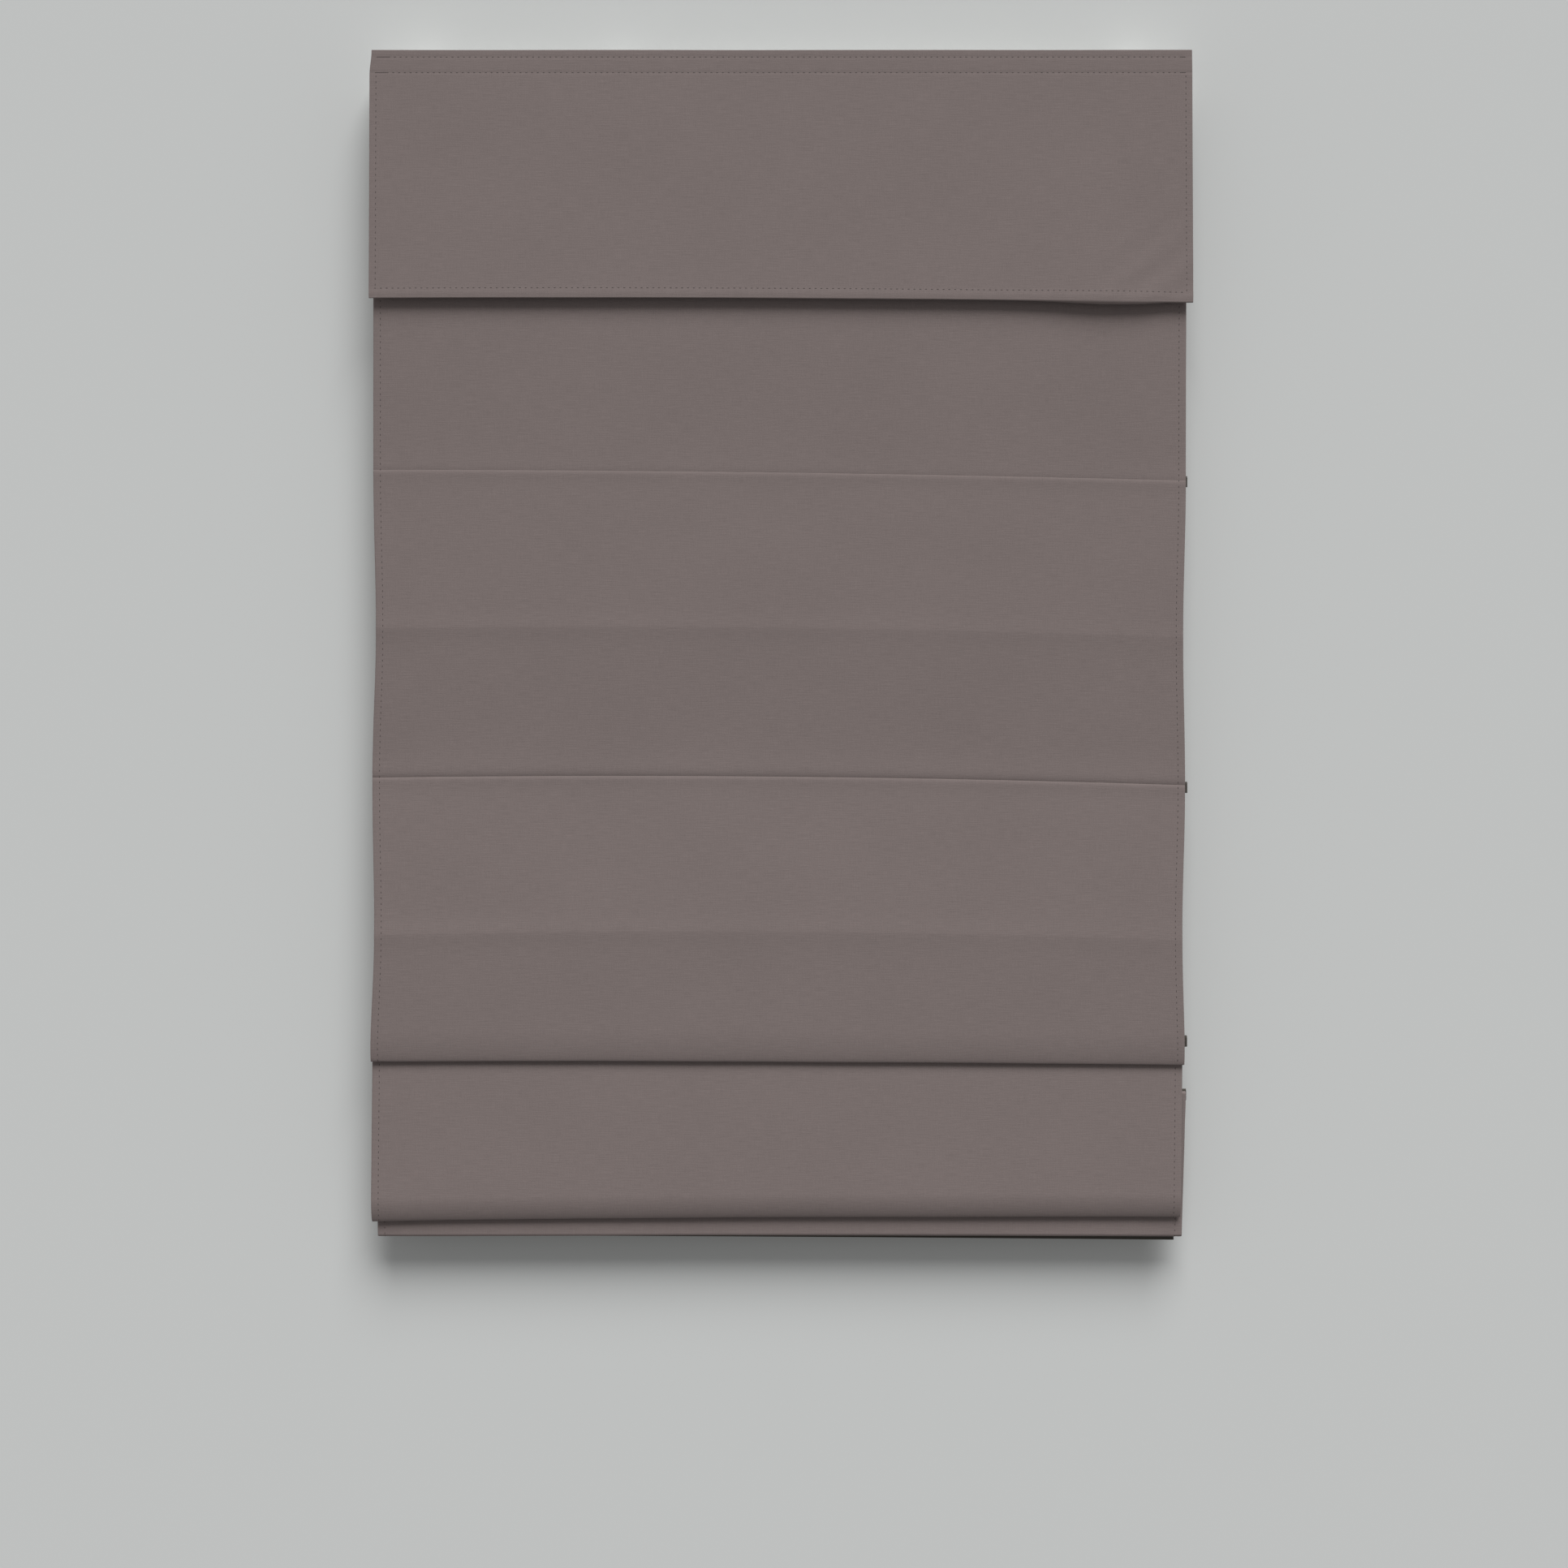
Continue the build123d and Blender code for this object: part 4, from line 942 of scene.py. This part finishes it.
VALANCE_EDGES = {
    "start": (0.4445, 0.4475),
    "edge": (0.4440, 0.4472),
    "bend": (0.4462, 0.4475),
    "hem_row": (0.4464, 0.4478),
    "end": (0.4460, 0.4475),
}
VALANCE = Cloth(valance_rows, valance_relief, HALF_VALANCE, VALANCE_EDGES)
VALANCE_XS = column_places(HALF_VALANCE, VALANCE_HEM, 0.007)
rows, VALANCE_LENGTH = section_rows(VALANCE, "start", "end")
backs = [FACE_BACK] * len(VALANCE_XS)
valance = shell("valance_cloth", VALANCE, VALANCE_XS, rows, 0.0, backs, MATERIALS["face_fabric"])
spots = []
for drop in VALANCE_ROWS:
    x = -HALF_VALANCE + VALANCE_SIDE_ROW
    while x < HALF_VALANCE - VALANCE_SIDE_ROW:
        _, _, lengths, marks = VALANCE.column(x)
        point, _, normal = VALANCE.spot(x, lengths[marks["edge"]] + drop)
        spots.append((point, Vector((1, 0, 0)), normal))
        tacked = HALF_VALANCE - abs(x) < TACK_LENGTH
        x += STITCH_PITCH / (TACK_CLOSENESS if tacked else 1)
x = -HALF_VALANCE + VALANCE_SIDE_ROW
while x < HALF_VALANCE - VALANCE_SIDE_ROW:
    _, _, lengths, marks = VALANCE.column(x)
    point, _, normal = VALANCE.spot(x, lengths[marks["bottom"]] - VALANCE_HEM_ROW)
    spots.append((point, Vector((1, 0, 0)), normal))
    x += STITCH_PITCH
spots += side_row(VALANCE, VALANCE_SIDE_ROW, "bend", "hem_row")
valance_stitches = stitches("valance_stitches", spots, THREAD_AND_HOLE_SHADE)
for piece in (valance, valance_stitches):
    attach(piece, "root")
    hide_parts("valance")


# Batten pockets: sewn sleeves with their seam hanging below the rod


def pocket_outline():
    """The sleeve's outside round the rod, seen from the end, with its two-layer seam below."""
    fin = 2 * FACE_BACK
    low = -(POCKET_RADIUS + POCKET_SEAM)
    inner = fin - POCKET_RADIUS
    points = [(-POCKET_RADIUS, 0.0), (-POCKET_RADIUS, -SEAM_FRONT), (-POCKET_RADIUS, low + SEAM_ROUND)]
    points += [(-POCKET_RADIUS + SEAM_ROUND, low), (inner - SEAM_ROUND, low), (inner, low + SEAM_ROUND)]
    points += [(inner, -SEAM_REAR), (inner + SEAM_ROUND, -SEAM_ROOT)]
    start, spans = radians(SEAM_ANGLE), 22
    for k in range(spans):
        angle = start + (radians(180) - start) * k / spans
        points.append((POCKET_RADIUS * cos(angle), POCKET_RADIUS * sin(angle)))
    return points


def pocket_sleeve(number):
    """A cloth sleeve along a batten, slightly uneven between its rings."""
    left, right = ROD_ENDS[number]
    start = left + (left - right).normalized() * POCKET_OVERLAP
    end = right + (right - left).normalized() * POCKET_OVERLAP
    outer, inner = pocket_outline(), []
    spans, stations = 30, 90
    for k in range(spans):
        angle = 2 * pi * k / spans
        inner.append((POCKET_BORE * cos(angle), POCKET_BORE * sin(angle)))
    vertices, uvs = [], []
    for outline, sense in ((outer, 1), (inner, 0)):
        for k in range(stations + 1):
            place = start + (end - start) * (k / stations)
            girth = 0.0
            for i, (y, z) in enumerate(outline):
                wave = noise.noise(Vector((place.x * 22.0, y * 300.0, z * 300.0 + number)))
                slack = sense * POCKET_SLACK * wave * (1 if z < 0.002 and y > -0.003 else 0)
                vertices.append(place + Vector((0.0, y * (1 + slack / POCKET_RADIUS), z + slack)))
                before = outline[i - 1]
                girth += hypot(y - before[0], z - before[1])
                uvs.append((place.x, girth))
    faces = [face[::-1] for face in ring_faces(len(outer), stations + 1)]
    base = len(outer) * (stations + 1)
    faces += [tuple(base + i for i in face) for face in ring_faces(len(inner), stations + 1)]
    loops = [[Vector((y, z, 0.0)) for y, z in outline] for outline in (outer, inner)]
    for triangle in tessellate_polygon(loops):
        for station, flip in ((0, False), (stations, True)):
            ends = []
            for i in triangle:
                if i < len(outer):
                    ends.append(station * len(outer) + i)
                else:
                    ends.append(base + station * len(inner) + i - len(outer))
            faces.append(tuple(reversed(ends)) if flip else tuple(ends))
    sleeve = add_mesh(
        f"pocket_sleeve_{number}", vertices, faces, MATERIALS["lining_fabric"], uvs, radians(40)
    )
    spots = []
    count = round(abs(end.x - start.x) / STITCH_PITCH)
    for k in range(1, count):
        place = start + (end - start) * (k / count)
        seam = Vector((0.0, 2 * FACE_BACK - POCKET_RADIUS, -POCKET_STITCH_DROP))
        spots.append((place + seam, Vector((1, 0, 0)), Vector((0, 1, 0))))
    thread = stitches(f"pocket_stitches_{number}", spots, THREAD_PALE, *POCKET_STITCH)
    for piece in (sleeve, thread):
        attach(piece, f"batten_{number}")
        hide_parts(f"batten_pocket_{number}")
    girth = max(v for _, v in uvs)


for number in BATTENS:
    pocket_sleeve(number)


# Cord rings, each lashed to its pocket


def ring_middle(number, side):
    """The middle of a cord ring."""
    low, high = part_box(f"cord_ring_{number}_{side}")
    return (low + high) / 2


def cord_ring(number, side):
    """A moulded ring with a rounded section, and the thread that ties it on."""
    middle = ring_middle(number, side)
    vertices = []
    around, section = 44, 12
    for i in range(around):
        angle = 2 * pi * i / around
        out = Vector((cos(angle), sin(angle), 0))
        for k in range(section):
            turn = 2 * pi * k / section
            wide = RING_RIM + RING_WIDE * cos(turn)
            vertices.append(middle + out * wide + Vector((0, 0, RING_TALL * sin(turn))))
    faces = ring_faces(section, around)
    last = (around - 1) * section
    faces += [(last + k, last + (k + 1) % section, (k + 1) % section, k) for k in range(section)]
    ring = add_mesh(f"ring_{number}_{side}", vertices, faces, MATERIALS["ring"], sharp=radians(80))
    wraps = []
    for wrap, lean in LASHING_TURNS:
        loop = []
        for k in range(20):
            angle = 2 * pi * k / 20
            y = middle.y - LASHING_FORWARD + LASHING_DEPTH * cos(angle)
            z = middle.z + LASHING_RISE * sin(angle)
            loop.append((middle.x + wrap + lean * cos(angle), y, z))
        wraps.append(tube(f"wrap_{number}_{side}_{wrap:.4f}", loop, THREAD, 6, THREAD_PALE, closed=True))
    lashing = join(f"lashing_{number}_{side}", wraps)
    for piece, name in ((ring, "ring"), (lashing, "cord")):
        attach(piece, f"batten_{number}")
        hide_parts(f"cord_ring_{number}_{side}")


for number in BATTENS:
    for side in SIDES:
        cord_ring(number, side)


# Lift cords: straight from the spools through the rings, wound above and knotted below


def lift_cord(side):
    """A lift cord in lengths between its rings, its turns on the spool and its knot."""
    rings = [ring_middle(number, side) for number in BATTENS]
    x = rings[0].x
    end = Vector((x, rings[3].y + RING_RIM, rings[3].z + RING_TALL + CORD))
    corners = [(rings[0].y, SHAFT_Z), (rings[1].y, rings[1].z), (rings[2].y, rings[2].z), (end.y, end.z)]
    rows, _ = rounded_rows(corners, [CORD_BEND, CORD_BEND], CORD_SPANS)
    drops = [-z for _, z, _ in rows]
    depths = [y for y, _, _ in rows]
    stops = [-SHAFT_Z] + [-ring.z for ring in rings[:3]] + [-end.z]
    for i in range(4):
        points = [(x, float(np.interp(drop, drops, depths)), -drop) for drop in stops[i : i + 2]]
        piece = tube(f"cord_{side}_{i + 1}", points, CORD, 10, MATERIALS["cord"])
        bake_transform(piece)
        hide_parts(f"lift_cord_{side}")

    helix = []
    for k in range(CORD_TURNS * TURN_STEPS + 1):
        angle = 2 * pi * k / TURN_STEPS
        along = x - k / TURN_STEPS * 2 * CORD
        helix.append((along, SHAFT_Y - WOUND_RADIUS * cos(angle), SHAFT_Z + WOUND_RADIUS * sin(angle)))
    wound = tube(f"wound_cord_{side}", helix, CORD * WOUND_SQUEEZE, 8, MATERIALS["cord"])
    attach(wound, "shaft")
    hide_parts(f"lift_cord_{side}")

    parts = []
    rim = Vector((x, rings[3].y + RING_RIM, rings[3].z))
    for lean in (-1, 1):
        loop = []
        for k in range(24):
            angle = 2 * pi * k / 24
            across = lean * (LOOP_APART + LOOP_CROSSING * sin(angle))
            loop.append(rim + Vector((across, LOOP_DEPTH * cos(angle), LOOP_RISE * sin(angle))))
        parts.append(tube(f"loop_{side}_{lean}", loop, CORD, 8, MATERIALS["cord"], closed=True))
    barrel = []
    steps = BARREL_TURNS * BARREL_STEPS
    for k in range(steps + 1):
        angle = 2 * pi * k / BARREL_STEPS
        rise = BARREL_FOOT + BARREL_RISE * k / steps
        barrel.append(rim + Vector((BARREL_RADIUS * cos(angle), BARREL_RADIUS * sin(angle), rise)))
    barrel += [barrel[-1] + Vector(step) for step in KNOT_TAIL]
    parts.append(tube(f"barrel_{side}", barrel, CORD * BARREL_SQUEEZE, 8, MATERIALS["cord"]))
    knot = join(f"cord_knot_{side}", parts)
    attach(knot, "batten_4")
    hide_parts(f"lift_cord_{side}")


for side in SIDES:
    lift_cord(side)


# Stage, light and camera


def one_sided(name, color):
    """A pale surface that is seen from its front only."""
    made, tree, shader = plain(name, color, 0.95)
    shader.inputs["Specular IOR Level"].default_value = 0.1
    clear = tree.nodes.new("ShaderNodeBsdfTransparent")
    mix = tree.nodes.new("ShaderNodeMixShader")
    behind = tree.nodes.new("ShaderNodeNewGeometry").outputs["Backfacing"]
    output = tree.nodes["Material Output"]
    tree.links.new(behind, mix.inputs[0])
    tree.links.new(shader.outputs[0], mix.inputs[1])
    tree.links.new(clear.outputs[0], mix.inputs[2])
    tree.links.new(mix.outputs[0], output.inputs["Surface"])
    return made


def stage_plane(name, corners, color):
    """A flat stage surface that lights and shades nothing itself."""
    made = add_mesh(name, corners, [(0, 1, 2, 3)], one_sided(name, color))
    made.visible_shadow = False
    made.visible_diffuse = False
    made.visible_glossy = False


WALL_COLOR = (0.520, 0.530, 0.525)
FLOOR_COLOR = (0.34, 0.345, 0.342)
REACH, WALL_TOP, FLOOR_Z, WALL_Y = 6.0, 5.0, -1.80, 0.0006
WALL_CORNERS = ((-REACH, FLOOR_Z), (REACH, FLOOR_Z), (REACH, WALL_TOP), (-REACH, WALL_TOP))
FLOOR_CORNERS = ((-REACH, -REACH), (REACH, -REACH), (REACH, REACH), (-REACH, REACH))
stage_plane("wall", [(x, WALL_Y, z) for x, z in WALL_CORNERS], WALL_COLOR)
stage_plane("floor", [(x, y, FLOOR_Z) for x, y in FLOOR_CORNERS], FLOOR_COLOR)


def sun(name, strength, spread, towards):
    """A wide soft lamp far away, shining along a direction."""
    lamp = bpy.data.lights.new(name, "SUN")
    lamp.energy = strength
    lamp.angle = radians(spread)
    made = bpy.data.objects.new(name, lamp)
    made.rotation_mode = "QUATERNION"
    made.rotation_quaternion = Vector(towards).to_track_quat("-Z", "Y")
    bpy.context.scene.collection.objects.link(made)


def make_world(ambient, backdrop):
    """An even soft light, and a pale background where the camera sees past the stage."""
    world = bpy.data.worlds.new("studio")
    world.use_nodes = True
    tree = world.node_tree
    soft = tree.nodes["Background"]
    soft.inputs["Strength"].default_value = ambient
    soft.inputs["Color"].default_value = (1.0, 1.0, 1.0, 1.0)
    seen = tree.nodes.new("ShaderNodeBackground")
    seen.inputs["Color"].default_value = (*backdrop, 1.0)
    seen.inputs["Strength"].default_value = 1.0
    path = tree.nodes.new("ShaderNodeLightPath")
    shown = math_node(tree, "MAXIMUM", path.outputs["Is Camera Ray"], path.outputs["Is Transmission Ray"])
    shown = math_node(tree, "MAXIMUM", shown, path.outputs["Is Glossy Ray"])
    mix = tree.nodes.new("ShaderNodeMixShader")
    tree.links.new(shown, mix.inputs[0])
    tree.links.new(soft.outputs[0], mix.inputs[1])
    tree.links.new(seen.outputs[0], mix.inputs[2])
    tree.links.new(mix.outputs[0], tree.nodes["World Output"].inputs["Surface"])
    bpy.context.scene.world = world


# Lamps: strength, angle across in degrees, and the way the light goes
KEY = (3.45, 36.0, (-0.12, 0.58, -0.81))
BACK_FILL = (2.6, 60.0, (0.25, -0.85, -0.45))
AMBIENT = 0.36
make_world(AMBIENT, WALL_COLOR)
sun("key", *KEY)
sun("back_fill", *BACK_FILL)

camera = bpy.data.cameras.new("camera")
camera.lens = CAMERA_LENS
camera.sensor_width = SENSOR
camera.clip_end = CAMERA_REACH
view = bpy.data.objects.new("camera", camera)
view.location = CAMERA_PLACE
view.rotation_euler = (pi / 2, 0.0, 0.0)
bpy.context.scene.collection.objects.link(view)
bpy.context.scene.camera = view
bpy.context.scene.view_settings.view_transform = "Standard"
